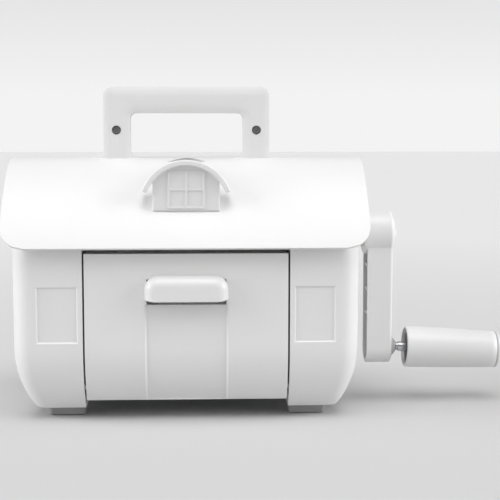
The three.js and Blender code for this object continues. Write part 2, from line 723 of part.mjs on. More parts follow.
// Outline of an involute spur gear with one tooth centred at the angle `phase`.
function gearOutline(teeth, phase) {
  const pressure = rad(20);
  const thinning = 0.35;
  const pitch = (MODULE * teeth) / 2;
  const base = pitch * Math.cos(pressure);
  const tip = pitch + 0.8 * MODULE;
  const root = pitch - 1.1 * MODULE;
  const involute = (a) => Math.tan(a) - a;
  const atPitch = Math.PI / (2 * teeth) - thinning / (2 * pitch);
  const halfAngle = (r) => atPitch + involute(pressure) - involute(Math.acos(Math.min(1, base / r)));
  const start = Math.max(base, root);
  const flank = [start, (start + tip) / 2, tip];
  if (root < base) flank.unshift(root);
  const points = [];
  for (let k = 0; k < teeth; k++) {
    const centre = phase + (2 * Math.PI * k) / teeth;
    const side = (r, sign) => {
      const angle = centre + sign * halfAngle(Math.max(r, start));
      return new THREE.Vector2(r * Math.cos(angle), r * Math.sin(angle));
    };
    flank.forEach((r) => points.push(side(r, -1)));
    [...flank].reverse().forEach((r) => points.push(side(r, 1)));
  }
  return new THREE.Shape(points);
}

function gear(teeth, phase, bore, x0, x1, z) {
  const disc = prismX(gearOutline(teeth, phase), x0, x1).translate([0, 0, z]);
  return cut(disc, rod(bore, x0 - 1, x1 + 1, 0, z, 20));
}

const DOWN = -Math.PI / 2;
const UP = Math.PI / 2;
const SYNC_X = [93, 105];
const DRIVE_X = [109, 119];

function driveGear() {
  const [x0, x1] = DRIVE_X;
  const wheel = gear(DRIVE_TEETH, UP + Math.PI / DRIVE_TEETH, JOURNAL_R + GAP, x0, x1, UPPER_Z);
  const web = { inR: 16, outR: 40, deep: 3 };
  const recess = (from, to) =>
    turned([[from, web.inR], [from, web.outR], [to, web.outR], [to, web.inR], [from, web.inR]],
      0, UPPER_Z, 28);
  return cut(wheel, recess(x0 - 1, x0 + web.deep), recess(x1 - web.deep, x1 + 1));
}

function roller(z, endX) {
  const half = ROLLER_HALF_X;
  return turned([[-94, 0], [-94, JOURNAL_R], [-half, JOURNAL_R], [-half, ROLLER_R],
    [half, ROLLER_R], [half, JOURNAL_R], [endX, JOURNAL_R], [endX, 0]], 0, z, 32);
}

function circlip(z) {
  const bore = JOURNAL_R + GAP;
  return turned([[-92.2, bore], [-92.2, 10], [-91, 10], [-91, bore], [-92.2, bore]], 0, z, 16);
}

// ---------------------------------------------------------------------------------------------
// Crank: shaft, pinion, hollow arm with a domed hub, and a grip that spins on a canted spindle
// ---------------------------------------------------------------------------------------------

function armOutline(inset) {
  const half = ARM_HALF_Y - inset;
  const hub = HUB_R - inset;
  const meet = Math.asin(half / hub);
  const shape = new THREE.Shape();
  shape.absarc(0, SPINDLE_Z, half, Math.PI, 2 * Math.PI);
  shape.absarc(0, CRANK_Z, hub, DOWN + meet, DOWN - meet + 2 * Math.PI);
  shape.closePath();
  return shape;
}

// Carries a solid drawn along +X from the origin to the canted spindle.
function onSpindle(body) {
  const degrees = (GRIP_DROOP * 180) / Math.PI;
  return body.rotate([0, degrees, 0]).translate([SPINDLE_X, 0, SPINDLE_Z]);
}

function crankArm() {
  const rounded = { bevelEnabled: true, bevelThickness: ARM_EDGE_R, bevelSize: ARM_EDGE_R,
    bevelSegments: 2, curveSegments: 6 };
  const outline = armOutline(ARM_EDGE_R);
  const bar = prismX(outline, ARM_IN_X - 10, ARM_OUT_X - ARM_EDGE_R, rounded)
    .intersect(block(ARM_IN_X, 300, -50, 50, 0, 300));
  const hub = turned([[144.6, 0], [144.6, 12], [HUB_IN_X, 12], [HUB_IN_X, HUB_R - 1.5],
    [HUB_IN_X + 1.5, HUB_R], [HUB_FACE_X, HUB_R], [HUB_FACE_X, 0]], 0, CRANK_Z, 40);
  const boss = turned([[ARM_OUT_X - 1, 0], [ARM_OUT_X - 1, 9.7], [ARM_OUT_X, 9.7], [ARM_OUT_X + 4.2, 5.6],
    [ARM_OUT_X + 4.2, 0]], 0, SPINDLE_Z, 24);
  const channel = cut(
    prismX(armOutline(WALL), ARM_IN_X - 1, ARM_OUT_X - 3.5, { curveSegments: 4 }),
    rod(HUB_R, 140, 190, 0, CRANK_Z, 20),
    rod(8, 140, 190, 0, SPINDLE_Z, 16),
    ...[99, 64].map((z) => block(140, 190, -20, 20, z - 1, z + 1)),
  );
  const capSeat = rod(HUB_CAP_R + GAP, HUB_FACE_X, 190, 0, CRANK_Z, 24);
  const shaftHole = rod(CRANK_SHAFT_R + GAP, 140, 170, 0, CRANK_Z, 24);
  const screwHole = rod(3 + GAP, 165, 180, 0, CRANK_Z, 16);
  const spindleHole = onSpindle(rod(SPINDLE_R + GAP, -30, 20, 0, 0, 20));
  return cut(join(bar, hub, boss), channel, capSeat, shaftHole, screwHole, spindleHole);
}

// A shallow dome on the hub's face, turned from an arc of its sphere.
function hubCap() {
  const base = HUB_FACE_X + GAP;
  const rim = HUB_CAP_R;
  const rise = HUB_DOME_X - base - 1;
  const sphere = (rim * rim + rise * rise) / (2 * rise);
  const profile = [[base, 8], [base, rim], [base + 1, rim]];
  const spread = Math.asin(rim / sphere);
  for (let i = 3; i >= 1; i--) {
    const angle = (spread * i) / 4;
    profile.push([HUB_DOME_X - sphere * (1 - Math.cos(angle)), sphere * Math.sin(angle)]);
  }
  profile.push([HUB_DOME_X, 0], [base + 3, 0], [base + 3, 8], [base, 8]);
  return turned(profile, 0, CRANK_Z, 24);
}

function hubScrew() {
  const seat = HUB_FACE_X + GAP;
  return turned([[170.5, 0], [170.5, 3], [seat, 3], [seat, 5.5], [seat + 2.5, 5.5], [seat + 2.5, 0]],
    0, CRANK_Z, 16);
}

function spindle() {
  const headStart = GRIP_END - 4.5;
  const rear = -11;
  return onSpindle(turned([[rear, 0], [rear, SPINDLE_R], [headStart, SPINDLE_R], [headStart, 6.6],
    [headStart + 3, 6.6], [headStart + 3, 0]], 0, 0, 20));
}

function gripSleeve() {
  const wall = 3;
  const swell = (GRIP_START + GRIP_END) / 2;
  return onSpindle(turned([[GRIP_START, GRIP_R_IN - wall], [GRIP_START, GRIP_R_IN - 1],
    [GRIP_START + 1.5, GRIP_R_IN], [swell, (GRIP_R_IN + GRIP_R_OUT) / 2 + 0.3], [GRIP_END, GRIP_R_OUT],
    [GRIP_END, GRIP_R_OUT - wall], [GRIP_START, GRIP_R_IN - wall]], 0, 0, 28));
}

function gripCore() {
  const bore = SPINDLE_R + GAP;
  const start = GRIP_START + 2.5;
  const end = GRIP_END - 5;
  const fit = GRIP_R_OUT - 3 - GAP;
  return onSpindle(turned([[start, bore], [start, 14.2], [start + 2.5, 14.2], [start + 2.5, 7],
    [end - 2, 7], [end - 2, fit], [end, fit], [end, bore], [start, bore]], 0, 0, 20));
}

function gripCap() {
  const start = GRIP_END + GAP;
  return onSpindle(turned([[start, 0], [start, GRIP_R_OUT], [GRIP_CAP_END - 1.2, GRIP_R_OUT - 0.6],
    [GRIP_CAP_END, GRIP_R_OUT - 2.4], [GRIP_CAP_END, 0]], 0, 0, 28));
}

// ---------------------------------------------------------------------------------------------
// Assembly
// ---------------------------------------------------------------------------------------------

const machine = new THREE.Group();
const same = (body) => body;

machine.add(
  mesh('base_plate', basePlate(), sheet),
  mesh('left_housing', mirrorX(tower()), white),
  mesh('right_housing', rightHousing(), white),
  mesh('roof_front_shell', roofFront(), white),
  mesh('roof_rear_shell', roofRear(), white),
  mesh('dormer_window', dormer(), white),
  mesh('handle_screw_left', handleScrew(-1), steel),
  mesh('handle_screw_right', handleScrew(1), steel),
  mesh('left_frame_plate', mirrorX(framePlate(false)), sheet),
  mesh('right_frame_plate', framePlate(true), sheet),
);

for (const [label, turn] of [['front', same], ['rear', mirrorY]]) {
  machine.add(
    mesh(`${label}_top_rail`, turn(topRail()), sheet),
    mesh(`${label}_tie_rod`, turn(tieRod()), steel),
    mesh(`${label}_feed_bed`, turn(feedBed()), sheet),
    mesh(`${label}_hinge_rod`, turn(hingeRod()), steel),
    mesh(`${label}_catch_magnet`, turn(catchMagnet()), dark),
    mesh(`${label}_left_foot`, turn(mirrorX(foot())), rubber),
    mesh(`${label}_right_foot`, turn(foot()), rubber),
    mesh(`${label}_left_frame_screw`, turn(mirrorX(frameScrew())), steel),
    mesh(`${label}_right_frame_screw`, turn(frameScrew()), steel),
    ...doorMeshes(label, turn),
  );
}

machine.add(
  mesh('upper_left_bush', mirrorX(rollerBush(UPPER_Z)), bronze),
  mesh('upper_right_bush', rollerBush(UPPER_Z), bronze),
  mesh('lower_left_bush', mirrorX(rollerBush(LOWER_Z)), bronze),
  mesh('lower_right_bush', rollerBush(LOWER_Z), bronze),
  mesh('crank_inner_bush', crankBushes().inner, bronze),
  mesh('crank_outer_bush', crankBushes().outer, bronze),
  mesh('upper_roller', roller(UPPER_Z, 124), steel),
  mesh('drive_gear', driveGear(), dark),
  mesh('upper_sync_gear', gear(SYNC_TEETH, DOWN, JOURNAL_R + GAP, ...SYNC_X, UPPER_Z), dark),
  mesh('upper_circlip', circlip(UPPER_Z), steel),
  mesh('lower_roller', roller(LOWER_Z, 106.5), steel),
  mesh('lower_sync_gear',
    gear(SYNC_TEETH, UP + Math.PI / SYNC_TEETH, JOURNAL_R + GAP, ...SYNC_X, LOWER_Z), dark),
  mesh('lower_circlip', circlip(LOWER_Z), steel),
);

machine.add(
  mesh('crank_shaft', rod(CRANK_SHAFT_R, 80.5, 169.5, 0, CRANK_Z, 24), steel),
  mesh('crank_pinion', gear(PINION_TEETH, DOWN, CRANK_SHAFT_R + GAP, 108, 120, CRANK_Z), steel),
  mesh('crank_arm', crankArm(), white),
  mesh('crank_hub_cap', hubCap(), white),
  mesh('crank_hub_screw', hubScrew(), steel),
  mesh('grip_spindle', spindle(), steel),
  mesh('grip_sleeve', gripSleeve(), white),
  mesh('grip_core', gripCore(), dark),
  mesh('grip_end_cap', gripCap(), white),
);

// The origin goes to the bottom centre of the box: the roof's left end and the grip's cap set it.
const box = new THREE.Box3().setFromObject(machine, true);
machine.position.x = -(box.min.x + box.max.x) / 2;

const assembly = new THREE.Group();
assembly.add(machine);

export default assembly;
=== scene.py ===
# %% [markdown]
# # A hand-cranked die cutting machine, finished in Blender
# The machine is a little house in white moulded plastic: a curved roof with a carrying handle, two towers, two
# fold-down doors and a crank. The mechanism and every size are fixed already, in the frame that is loaded here.
# This script gives each part its finished surface: rounded edges, clean curves and a real material.
# Shapes are drawn in millimetres from the middle of the house, and `piece` below moves them into the frame.

# %% Load the fixed frame
import math

import bmesh
import bpy
from mathutils import Matrix, Vector


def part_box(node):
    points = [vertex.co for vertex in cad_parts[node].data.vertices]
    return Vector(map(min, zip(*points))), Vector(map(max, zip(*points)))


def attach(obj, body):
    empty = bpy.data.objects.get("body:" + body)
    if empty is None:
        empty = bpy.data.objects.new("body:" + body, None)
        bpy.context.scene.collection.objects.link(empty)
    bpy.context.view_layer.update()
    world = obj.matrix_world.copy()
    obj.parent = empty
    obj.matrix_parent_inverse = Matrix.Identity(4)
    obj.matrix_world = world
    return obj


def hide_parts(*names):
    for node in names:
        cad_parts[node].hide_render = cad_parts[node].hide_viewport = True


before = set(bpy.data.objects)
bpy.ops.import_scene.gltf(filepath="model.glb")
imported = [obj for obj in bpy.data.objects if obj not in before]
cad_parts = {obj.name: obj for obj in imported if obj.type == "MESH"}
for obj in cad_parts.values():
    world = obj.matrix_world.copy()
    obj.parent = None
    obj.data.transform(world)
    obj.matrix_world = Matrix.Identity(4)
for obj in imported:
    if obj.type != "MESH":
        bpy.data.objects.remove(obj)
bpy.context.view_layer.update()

# %% [markdown]
# ## The camera
# The machine is seen from the front and a little above, from about a metre away. The lens is long, so the house
# keeps nearly upright sides, and the camera turns a little to the right because the crank sticks out on that side.

# %% Place the camera
MM = 0.001
ROOF_LOW, ROOF_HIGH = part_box("roof_front_shell")
CENTRE_X = (ROOF_LOW[0] + ROOF_HIGH[0]) / 2
VIEW = {"x": 12, "y": -1022, "z": 237.5, "pitch": 5.8, "yaw": 2.38, "lens": 84.96}

camera = bpy.data.objects.new("camera", bpy.data.cameras.new("camera"))
bpy.context.scene.collection.objects.link(camera)
camera.location = (CENTRE_X + VIEW["x"] * MM, VIEW["y"] * MM, VIEW["z"] * MM)
camera.rotation_euler = (math.radians(90 - VIEW["pitch"]), 0, math.radians(-VIEW["yaw"]))
camera.data.lens = VIEW["lens"]
camera.data.sensor_width = 36
bpy.context.scene.camera = camera
print("camera at", tuple(round(value, 3) for value in camera.location))

# %% [markdown]
# ## Materials
# A moulded part is never one flat colour. White ABS has a faint ripple from the mould, and its gloss changes softly
# from place to place. Each finish below starts from the shader's own values and adds noise read in Object
# coordinates, so that a pattern keeps its size on every piece.

# %% Helpers for materials
def start_finish(name, values):
    """A material with its shader's plain values set on the shader's own sockets."""
    material = bpy.data.materials.new(name)
    material.use_nodes = True
    shader = material.node_tree.nodes["Principled BSDF"]
    for socket, value in values.items():
        shader.inputs[socket].default_value = value
    return material, shader


def grain(material, scale, stretch=(1, 1, 1), detail=3.0):
    """Noise in Object coordinates. Scale counts features in a metre, and stretch makes them long."""
    nodes, links = material.node_tree.nodes, material.node_tree.links
    where = nodes.new("ShaderNodeTexCoord")
    mapping = nodes.new("ShaderNodeMapping")
    noise = nodes.new("ShaderNodeTexNoise")
    mapping.inputs["Scale"].default_value = stretch
    noise.inputs["Scale"].default_value = scale
    noise.inputs["Detail"].default_value = detail
    links.new(where.outputs["Object"], mapping.inputs["Vector"])
    links.new(mapping.outputs["Vector"], noise.inputs["Vector"])
    return noise.outputs["Fac"]


def cells(material, scale):
    """Random flat patches, as zinc crystals make."""
    nodes, links = material.node_tree.nodes, material.node_tree.links
    where = nodes.new("ShaderNodeTexCoord")
    patches = nodes.new("ShaderNodeTexVoronoi")
    patches.inputs["Scale"].default_value = scale
    links.new(where.outputs["Object"], patches.inputs["Vector"])
    split = nodes.new("ShaderNodeSeparateColor")
    links.new(patches.outputs["Color"], split.inputs["Color"])
    return split.outputs["Red"]


def spread(material, source, low, high, start=0.3, stop=0.7):
    """Turns a pattern or a distance, between its start and its stop, into a range of values."""
    scale = material.node_tree.nodes.new("ShaderNodeMapRange")
    scale.inputs["From Min"].default_value = start
    scale.inputs["From Max"].default_value = stop
    scale.inputs["To Min"].default_value = low
    scale.inputs["To Max"].default_value = high
    material.node_tree.links.new(source, scale.inputs["Value"])
    return scale.outputs["Result"]


def tint(material, shader, source, dark, light):
    """Lets the base colour wander between two near shades."""
    mix = material.node_tree.nodes.new("ShaderNodeMix")
    mix.data_type = "RGBA"
    factor, first, second = mix.inputs[0], mix.inputs[6], mix.inputs[7]
    first.default_value = (*dark, 1)
    second.default_value = (*light, 1)
    links = material.node_tree.links
    links.new(spread(material, source, 0, 1), factor)
    links.new(mix.outputs[2], shader.inputs["Base Color"])


def relief(material, shader, source, height, strength=1.0):
    """Bumps of a real height, in millimetres."""
    bump = material.node_tree.nodes.new("ShaderNodeBump")
    bump.inputs["Distance"].default_value = height * MM
    bump.inputs["Strength"].default_value = strength
    links = material.node_tree.links
    links.new(source, bump.inputs["Height"])
    links.new(bump.outputs["Normal"], shader.inputs["Normal"])

# %% [markdown]
# White satin ABS covers nearly the whole machine. The mould's faint ripple is broad and very low, so it only bends
# the reflections, and the shade and the gloss wander by a few hundredths.

# %% White plastics
def plastic(name, dark, light, gloss, ripple, ripple_height):
    """A moulded plastic. Gloss is its lowest and highest roughness."""
    material, shader = start_finish(name, {"IOR": 1.53})
    tint(material, shader, grain(material, 14), dark, light)
    material.node_tree.links.new(spread(material, grain(material, 70), *gloss), shader.inputs["Roughness"])
    relief(material, shader, grain(material, ripple, detail=2.0), ripple_height)
    return material


WHITE = plastic("white_abs", (0.756, 0.756, 0.756), (0.764, 0.764, 0.762), (0.30, 0.36), 260, 0.004)
TABLE = plastic("white_abs_grained", (0.76, 0.76, 0.76), (0.80, 0.80, 0.80), (0.42, 0.52), 1900, 0.03)
NYLON = plastic("dark_nylon", (0.030, 0.031, 0.033), (0.045, 0.046, 0.048), (0.42, 0.55), 900, 0.02)
# The grip's core is near-black: painted shade for the dark mouth of the hollow grip.
PAINTED_SHADE_CORE = plastic("charcoal_painted_shade_plastic", (0.035, 0.035, 0.036), (0.06, 0.06, 0.062), (0.5, 0.62), 900, 0.02)
print("plastics:", WHITE.name, TABLE.name, NYLON.name, PAINTED_SHADE_CORE.name)

# %% [markdown]
# Metals get their look from how they were made. A ground roller has fine lines round its surface, a zinc plated
# plate has flat crystals, and a sintered bush is full of tiny pores.

# %% Metals, magnets and rubber
def metal(name, dark, light, gloss, pattern, pattern_height):
    """A bare or plated metal."""
    material, shader = start_finish(name, {"Metallic": 1.0})
    tint(material, shader, grain(material, 30), dark, light)
    material.node_tree.links.new(spread(material, pattern(material), *gloss), shader.inputs["Roughness"])
    relief(material, shader, pattern(material), pattern_height)
    return material


STEEL = metal("ground_steel", (0.52, 0.53, 0.55), (0.62, 0.63, 0.65), (0.16, 0.32),
              lambda m: grain(m, 40, (90, 1, 1)), 0.006)
ZINC = metal("zinc_plate", (0.50, 0.52, 0.54), (0.60, 0.62, 0.63), (0.30, 0.46), lambda m: cells(m, 260), 0.004)
BRONZE = metal("sintered_bronze", (0.40, 0.25, 0.11), (0.52, 0.35, 0.17), (0.36, 0.52),
               lambda m: grain(m, 2600), 0.02)
BLACK_STEEL = metal("dark_screw_steel", (0.17, 0.17, 0.175), (0.26, 0.26, 0.265), (0.28, 0.42),
                    lambda m: grain(m, 900), 0.01)


def matt(name, dark, light, scale, height):
    """A dull, fine-grained material such as rubber or ferrite."""
    material, shader = start_finish(name, {"Specular IOR Level": 0.3})
    tint(material, shader, grain(material, 60), dark, light)
    material.node_tree.links.new(spread(material, grain(material, 90), 0.72, 0.88), shader.inputs["Roughness"])
    relief(material, shader, grain(material, scale), height)
    return material


RUBBER = matt("grey_rubber", (0.30, 0.30, 0.30), (0.36, 0.36, 0.36), 1500, 0.03)
FERRITE = matt("ferrite", (0.03, 0.03, 0.032), (0.05, 0.05, 0.052), 2200, 0.03)
print("metals and others:", STEEL.name, ZINC.name, BRONZE.name, BLACK_STEEL.name, RUBBER.name, FERRITE.name)

# %% [markdown]
# ## Helpers for shapes
# A shape starts from a few corner points, which are pushed, spun or extruded by bmesh operators. `piece` finishes
# each one in the same way: it goes into the frame, gets soft edges from a Bevel modifier, and shading weighted by
# area, so that big flat faces stay flat beside their rounded edges.

# %% Drawing and picking
def verts_of(result, key="geom"):
    return [item for item in result[key] if isinstance(item, bmesh.types.BMVert)]


def edges_of(result, key="geom"):
    return [item for item in result[key] if isinstance(item, bmesh.types.BMEdge)]


def point(axis, u, v, along):
    """A point of an outline: (y, z) across an X axis, (x, z) across Y, or (x, y) across Z."""
    return Vector({"x": (along, u, v), "y": (u, along, v), "z": (u, v, along)}[axis])


def edges_where(bm, test):
    """The edges whose two ends both pass a test."""
    return [edge for edge in bm.edges if all(test(vert.co) for vert in edge.verts)]


def edges_along(bm, axis, test):
    """The edges that run along an axis and whose middle passes a test."""
    number = "xyz".index(axis)
    found = []
    for edge in bm.edges:
        run = edge.verts[1].co - edge.verts[0].co
        if run.length > 0 and abs(run[number]) > 0.99 * run.length and test((edge.verts[0].co + edge.verts[1].co) / 2):
            found.append(edge)
    return found


def round_edges(bm, edges, radius, segments=5):
    bmesh.ops.bevel(bm, geom=edges, offset=radius, offset_type="OFFSET", segments=segments, profile=0.5,
                    affect="EDGES", material=-1, clamp_overlap=False)


def swing(bm, vert, axis, centre, degrees, steps):
    """Carries a vertex round an arc, drawing it, and gives back the arc's far end."""
    turned = bmesh.ops.spin(bm, geom=[vert], cent=centre, axis=axis, angle=math.radians(degrees), steps=steps)
    return verts_of(turned, "geom_last")[0]


def push(bm, faces, move):
    """Extrudes faces by a move, and gives back the moved vertices. Faces left behind inside a skin are deleted."""
    pushed = bmesh.ops.extrude_face_region(bm, geom=faces)
    bmesh.ops.translate(bm, vec=move, verts=verts_of(pushed))
    left = [face for face in faces if face.is_valid]
    if any(len(edge.link_faces) > 2 for face in left for edge in face.edges):
        bmesh.ops.delete(bm, geom=left, context="FACES")
    return verts_of(pushed)


def prism(axis, outline, start, end):
    """A face drawn from its corners and pushed along an axis into a solid."""
    bm = bmesh.new()
    face = bm.faces.new([bm.verts.new(point(axis, u, v, start)) for u, v in outline])
    push(bm, [face], point(axis, 0, 0, end - start))
    bmesh.ops.recalc_face_normals(bm, faces=bm.faces)
    return bm


def slab(x0, x1, y0, y1, z0, z1):
    return prism("z", [(x0, y0), (x1, y0), (x1, y1), (x0, y1)], z0, z1)


def turned(profile, y=0, z=0, steps=72):
    """A profile of (x, radius) points spun about an axis along X."""
    bm = bmesh.new()
    verts = [bm.verts.new((x, y, z + r)) for x, r in profile]
    edges = [bm.edges.new(pair) for pair in zip(verts, verts[1:])]
    bmesh.ops.spin(bm, geom=verts + edges, cent=(0, y, z), axis=(1, 0, 0), angle=math.tau, steps=steps,
                   use_merge=True)
    bmesh.ops.remove_doubles(bm, verts=bm.verts, dist=0.001)
    bmesh.ops.recalc_face_normals(bm, faces=bm.faces)
    return bm


def bar(x0, x1, radius, **place):
    return turned([(x0, 0), (x0, radius), (x1, radius), (x1, 0)], **place)


def ring(x0, x1, bore, radius, **place):
    return turned([(x0, bore), (x0, radius), (x1, radius), (x1, bore), (x0, bore)], **place)


def add(bm, *others):
    """Adds other shapes to this one, each still a closed shell of its own."""
    for other in others:
        spare = bpy.data.meshes.new("spare")
        other.to_mesh(spare)
        other.free()
        bm.from_mesh(spare)
        bpy.data.meshes.remove(spare)
    return bm


def flip(bm, axis):
    """Mirrors a shape and turns its faces back outwards."""
    vec = {"x": (-1, 1, 1), "y": (1, -1, 1)}[axis]
    bmesh.ops.scale(bm, vec=vec, verts=bm.verts)
    bmesh.ops.reverse_faces(bm, faces=bm.faces)
    return bm

# %% Finishing a piece
SHARP = math.radians(35)


def show(name, bm, body, material, stands_for, soft, wall):
    """Makes the object, with a wall if it is a skin, soft edges, and even shading."""
    mesh = bpy.data.meshes.new(name)
    bm.to_mesh(mesh)
    bm.free()
    mesh.materials.append(material)
    mesh.shade_smooth()
    obj = bpy.data.objects.new(name, mesh)
    bpy.context.scene.collection.objects.link(obj)
    if wall:
        solid = obj.modifiers.new("wall", "SOLIDIFY")
        solid.thickness = wall * MM
        solid.offset = -1
    if soft:
        edge = obj.modifiers.new("soft_edges", "BEVEL")
        edge.width = soft * MM
        edge.segments = 3
        edge.limit_method = "ANGLE"
        edge.angle_limit = SHARP
    obj.modifiers.new("even_shading", "WEIGHTED_NORMAL")
    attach(obj, body)
    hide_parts(*stands_for)
    print(f"{name}: {len(mesh.polygons)} faces on {body}")
    return obj


def piece(name, bm, body, material, stands_for=None, soft=0.4, wall=0):
    """Moves a shape from millimetres into the frame and shows it in place of a CAD node."""
    bmesh.ops.remove_doubles(bm, verts=bm.verts, dist=0.002)
    bmesh.ops.scale(bm, vec=(MM, MM, MM), verts=bm.verts)
    bmesh.ops.translate(bm, vec=(CENTRE_X, 0, 0), verts=bm.verts)
    nodes = [stands_for or name] if isinstance(stands_for or name, str) else stands_for
    return show(name + "_finished", bm, body, material, nodes, soft, wall)


def polished(node, body, material, soft=0.25):
    """A merged copy of a CAD node whose shape is right, with its edges softened."""
    bm = bmesh.new()
    bm.from_mesh(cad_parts[node].data)
    bmesh.ops.remove_doubles(bm, verts=bm.verts, dist=1e-6)
    bmesh.ops.dissolve_limit(bm, angle_limit=math.radians(1), verts=bm.verts, edges=bm.edges)
    return show(node + "_finished", bm, body, material, [node], soft, 0)


def carve(obj, bm):
    """Cuts a shape, drawn in millimetres, out of a finished piece."""
    bmesh.ops.scale(bm, vec=(MM, MM, MM), verts=bm.verts)
    bmesh.ops.translate(bm, vec=(CENTRE_X, 0, 0), verts=bm.verts)
    mesh = bpy.data.meshes.new("cutter")
    bm.to_mesh(mesh)
    bm.free()
    cutter = bpy.data.objects.new("cutter", mesh)
    bpy.context.scene.collection.objects.link(cutter)
    cut = obj.modifiers.new("cut", "BOOLEAN")
    cut.object = cutter
    cut.solver = "EXACT"
    live = [modifier for modifier in obj.modifiers if modifier.name != "cut"]
    for modifier in live:
        modifier.show_viewport = False
    found = obj.evaluated_get(bpy.context.evaluated_depsgraph_get())
    obj.data = bpy.data.meshes.new_from_object(found)
    obj.modifiers.remove(cut)
    for modifier in live:
        modifier.show_viewport = True
    bpy.data.objects.remove(cutter)
    bpy.data.meshes.remove(mesh)

# %% [markdown]
# ## The roof
# Each half of the roof is one moulded sheet: a tight curve over the ridge that runs on into a long, flatter slope,
# with the eave's corners rounded off. A vertex is swung round both arcs to draw the section, and the section is
# extruded along the house in steps. The steps near each end are squeezed in below the corner's height, which rounds
# the corner and keeps clean four-sided faces.

# %% Roof section and corner
ROOF = {"half_x": 148.6, "ridge_z": 214.8, "crown_r": 65, "crown_turn": 40, "slope_r": 200, "eave_z": 144.1,
        "corner_x": 20, "corner_z": 17, "thick": 3}
CROWN_STEPS = 14
SLOPE_STEPS = 34
CROWN_Z = ROOF["ridge_z"] - ROOF["crown_r"]
SLOPE_Y = (ROOF["slope_r"] - ROOF["crown_r"]) * math.sin(math.radians(ROOF["crown_turn"]))
SLOPE_Z = CROWN_Z - (ROOF["slope_r"] - ROOF["crown_r"]) * math.cos(math.radians(ROOF["crown_turn"]))
EAVE_TURN = math.degrees(math.acos((ROOF["eave_z"] - SLOPE_Z) / ROOF["slope_r"])) - ROOF["crown_turn"]


def under_roof(y, inset):
    """Height of the roof's surface, less an inset, above a distance from the ridge."""
    y = abs(y)
    crown_r, slope_r = ROOF["crown_r"] - inset, ROOF["slope_r"] - inset
    if y < crown_r * math.sin(math.radians(ROOF["crown_turn"])):
        return CROWN_Z + math.sqrt(crown_r ** 2 - y ** 2)
    return SLOPE_Z + math.sqrt(slope_r ** 2 - (y + SLOPE_Y) ** 2)


def roof_columns():
    """Where the section is repeated: close together at the rounded ends and over the dormer."""
    ends = [ROOF["half_x"] - ROOF["corner_x"] * (1 - math.cos(math.radians(10 * k))) for k in range(9)]
    ends.append(ROOF["half_x"] - ROOF["corner_x"])
    plain = [112, 96, 80, 64, 48, 34, 24]
    dormer = [SLOT["half_x"] * k / 6 for k in range(7)]
    half = sorted(set(ends + plain + dormer))
    return [-x for x in reversed(half) if x] + half


def round_eave_corners(bm):
    corner_z = ROOF["eave_z"] + ROOF["corner_z"]
    straight_x = ROOF["half_x"] - ROOF["corner_x"]
    for vert in bm.verts:
        drop = min(1, max(0, (corner_z - vert.co.z) / ROOF["corner_z"]))
        beyond = abs(vert.co.x) - straight_x
        if drop > 0 and beyond > 0:
            vert.co.x = math.copysign(straight_x + beyond * math.sqrt(1 - drop ** 2), vert.co.x)

# %% [markdown]
# Behind the dormer's brim the front roof has a crescent-shaped scoop. Its faces are picked before the rows are bent
# to the crescent's arc, and then pushed in and back under the ridge, so that the scoop is darkest at its foot.

# %% Scoop behind the dormer
SLOT = {"half_x": 16.5, "top_z": 213.9, "r": 42.8, "row": 3, "last_row": 7}


def row_angle(row):
    return ROOF["crown_turn"] * row / CROWN_STEPS


def crown_angle(co):
    return math.degrees(math.asin(min(1, max(0, -co.y / ROOF["crown_r"]))))


def slot_angle(x):
    """How far down the crown the crescent's edge lies at a distance from its middle."""
    z = SLOT["top_z"] - SLOT["r"] + math.sqrt(SLOT["r"] ** 2 - x ** 2)
    angle = math.degrees(math.acos((z - CROWN_Z) / ROOF["crown_r"]))
    return min(angle, row_angle(SLOT["last_row"]) - 0.1)


def scoop(bm):
    first, last = row_angle(SLOT["row"]), row_angle(SLOT["last_row"])
    chosen = [face for face in bm.faces
              if abs(face.calc_center_median().x) < SLOT["half_x"]
              and first < crown_angle(face.calc_center_median()) < last]
    for vert in bm.verts:
        angle = crown_angle(vert.co)
        if abs(vert.co.x) > SLOT["half_x"] + 0.01 or angle > last - 0.01:
            continue
        edge = slot_angle(vert.co.x)
        low, high = (0, edge) if angle <= first + 0.01 else (edge, last)
        start, stop = (0, first) if angle <= first + 0.01 else (first, last)
        bent = math.radians(low + (angle - start) / (stop - start) * (high - low))
        vert.co.y = -ROOF["crown_r"] * math.sin(bent)
        vert.co.z = CROWN_Z + ROOF["crown_r"] * math.cos(bent)
    push(bm, chosen, (0, 7, -5))


def roof_sheet(with_scoop):
    bm = bmesh.new()
    columns = roof_columns()
    ridge = bm.verts.new((columns[0], 0, ROOF["ridge_z"]))
    foot = swing(bm, ridge, (1, 0, 0), (0, 0, CROWN_Z), ROOF["crown_turn"], CROWN_STEPS)
    swing(bm, foot, (1, 0, 0), (0, SLOPE_Y, SLOPE_Z), EAVE_TURN, SLOPE_STEPS)
    row = bm.edges[:]
    for here, after in zip(columns, columns[1:]):
        strip = bmesh.ops.extrude_edge_only(bm, edges=row)
        bmesh.ops.translate(bm, vec=(after - here, 0, 0), verts=verts_of(strip))
        row = edges_of(strip)
    if with_scoop:
        scoop(bm)
    round_eave_corners(bm)
    bmesh.ops.translate(bm, vec=(0, -0.15, 0), verts=bm.verts)
    bmesh.ops.remove_doubles(bm, verts=bm.verts, dist=0.01)
    bmesh.ops.recalc_face_normals(bm, faces=bm.faces)
    if sum(face.normal.z for face in bm.faces) < 0:
        bmesh.ops.reverse_faces(bm, faces=bm.faces)
    return bm


piece("roof_front_shell", roof_sheet(True), "frame", WHITE, soft=0.6, wall=ROOF["thick"])
piece("roof_rear_shell", flip(roof_sheet(False), "y"), "frame", WHITE, soft=0.6, wall=ROOF["thick"])

# %% [markdown]
# ## The carrying handle
# The handle rises from the ridge in the same moulding as each roof half, so it meets the roof in a soft flare. It is
# drawn as an upside-down U with its feet inside the roof. First the corners of the U are rounded, then its front
# face is inset and raised, which leaves wide shallow chamfers and a narrow flat band for the screws.

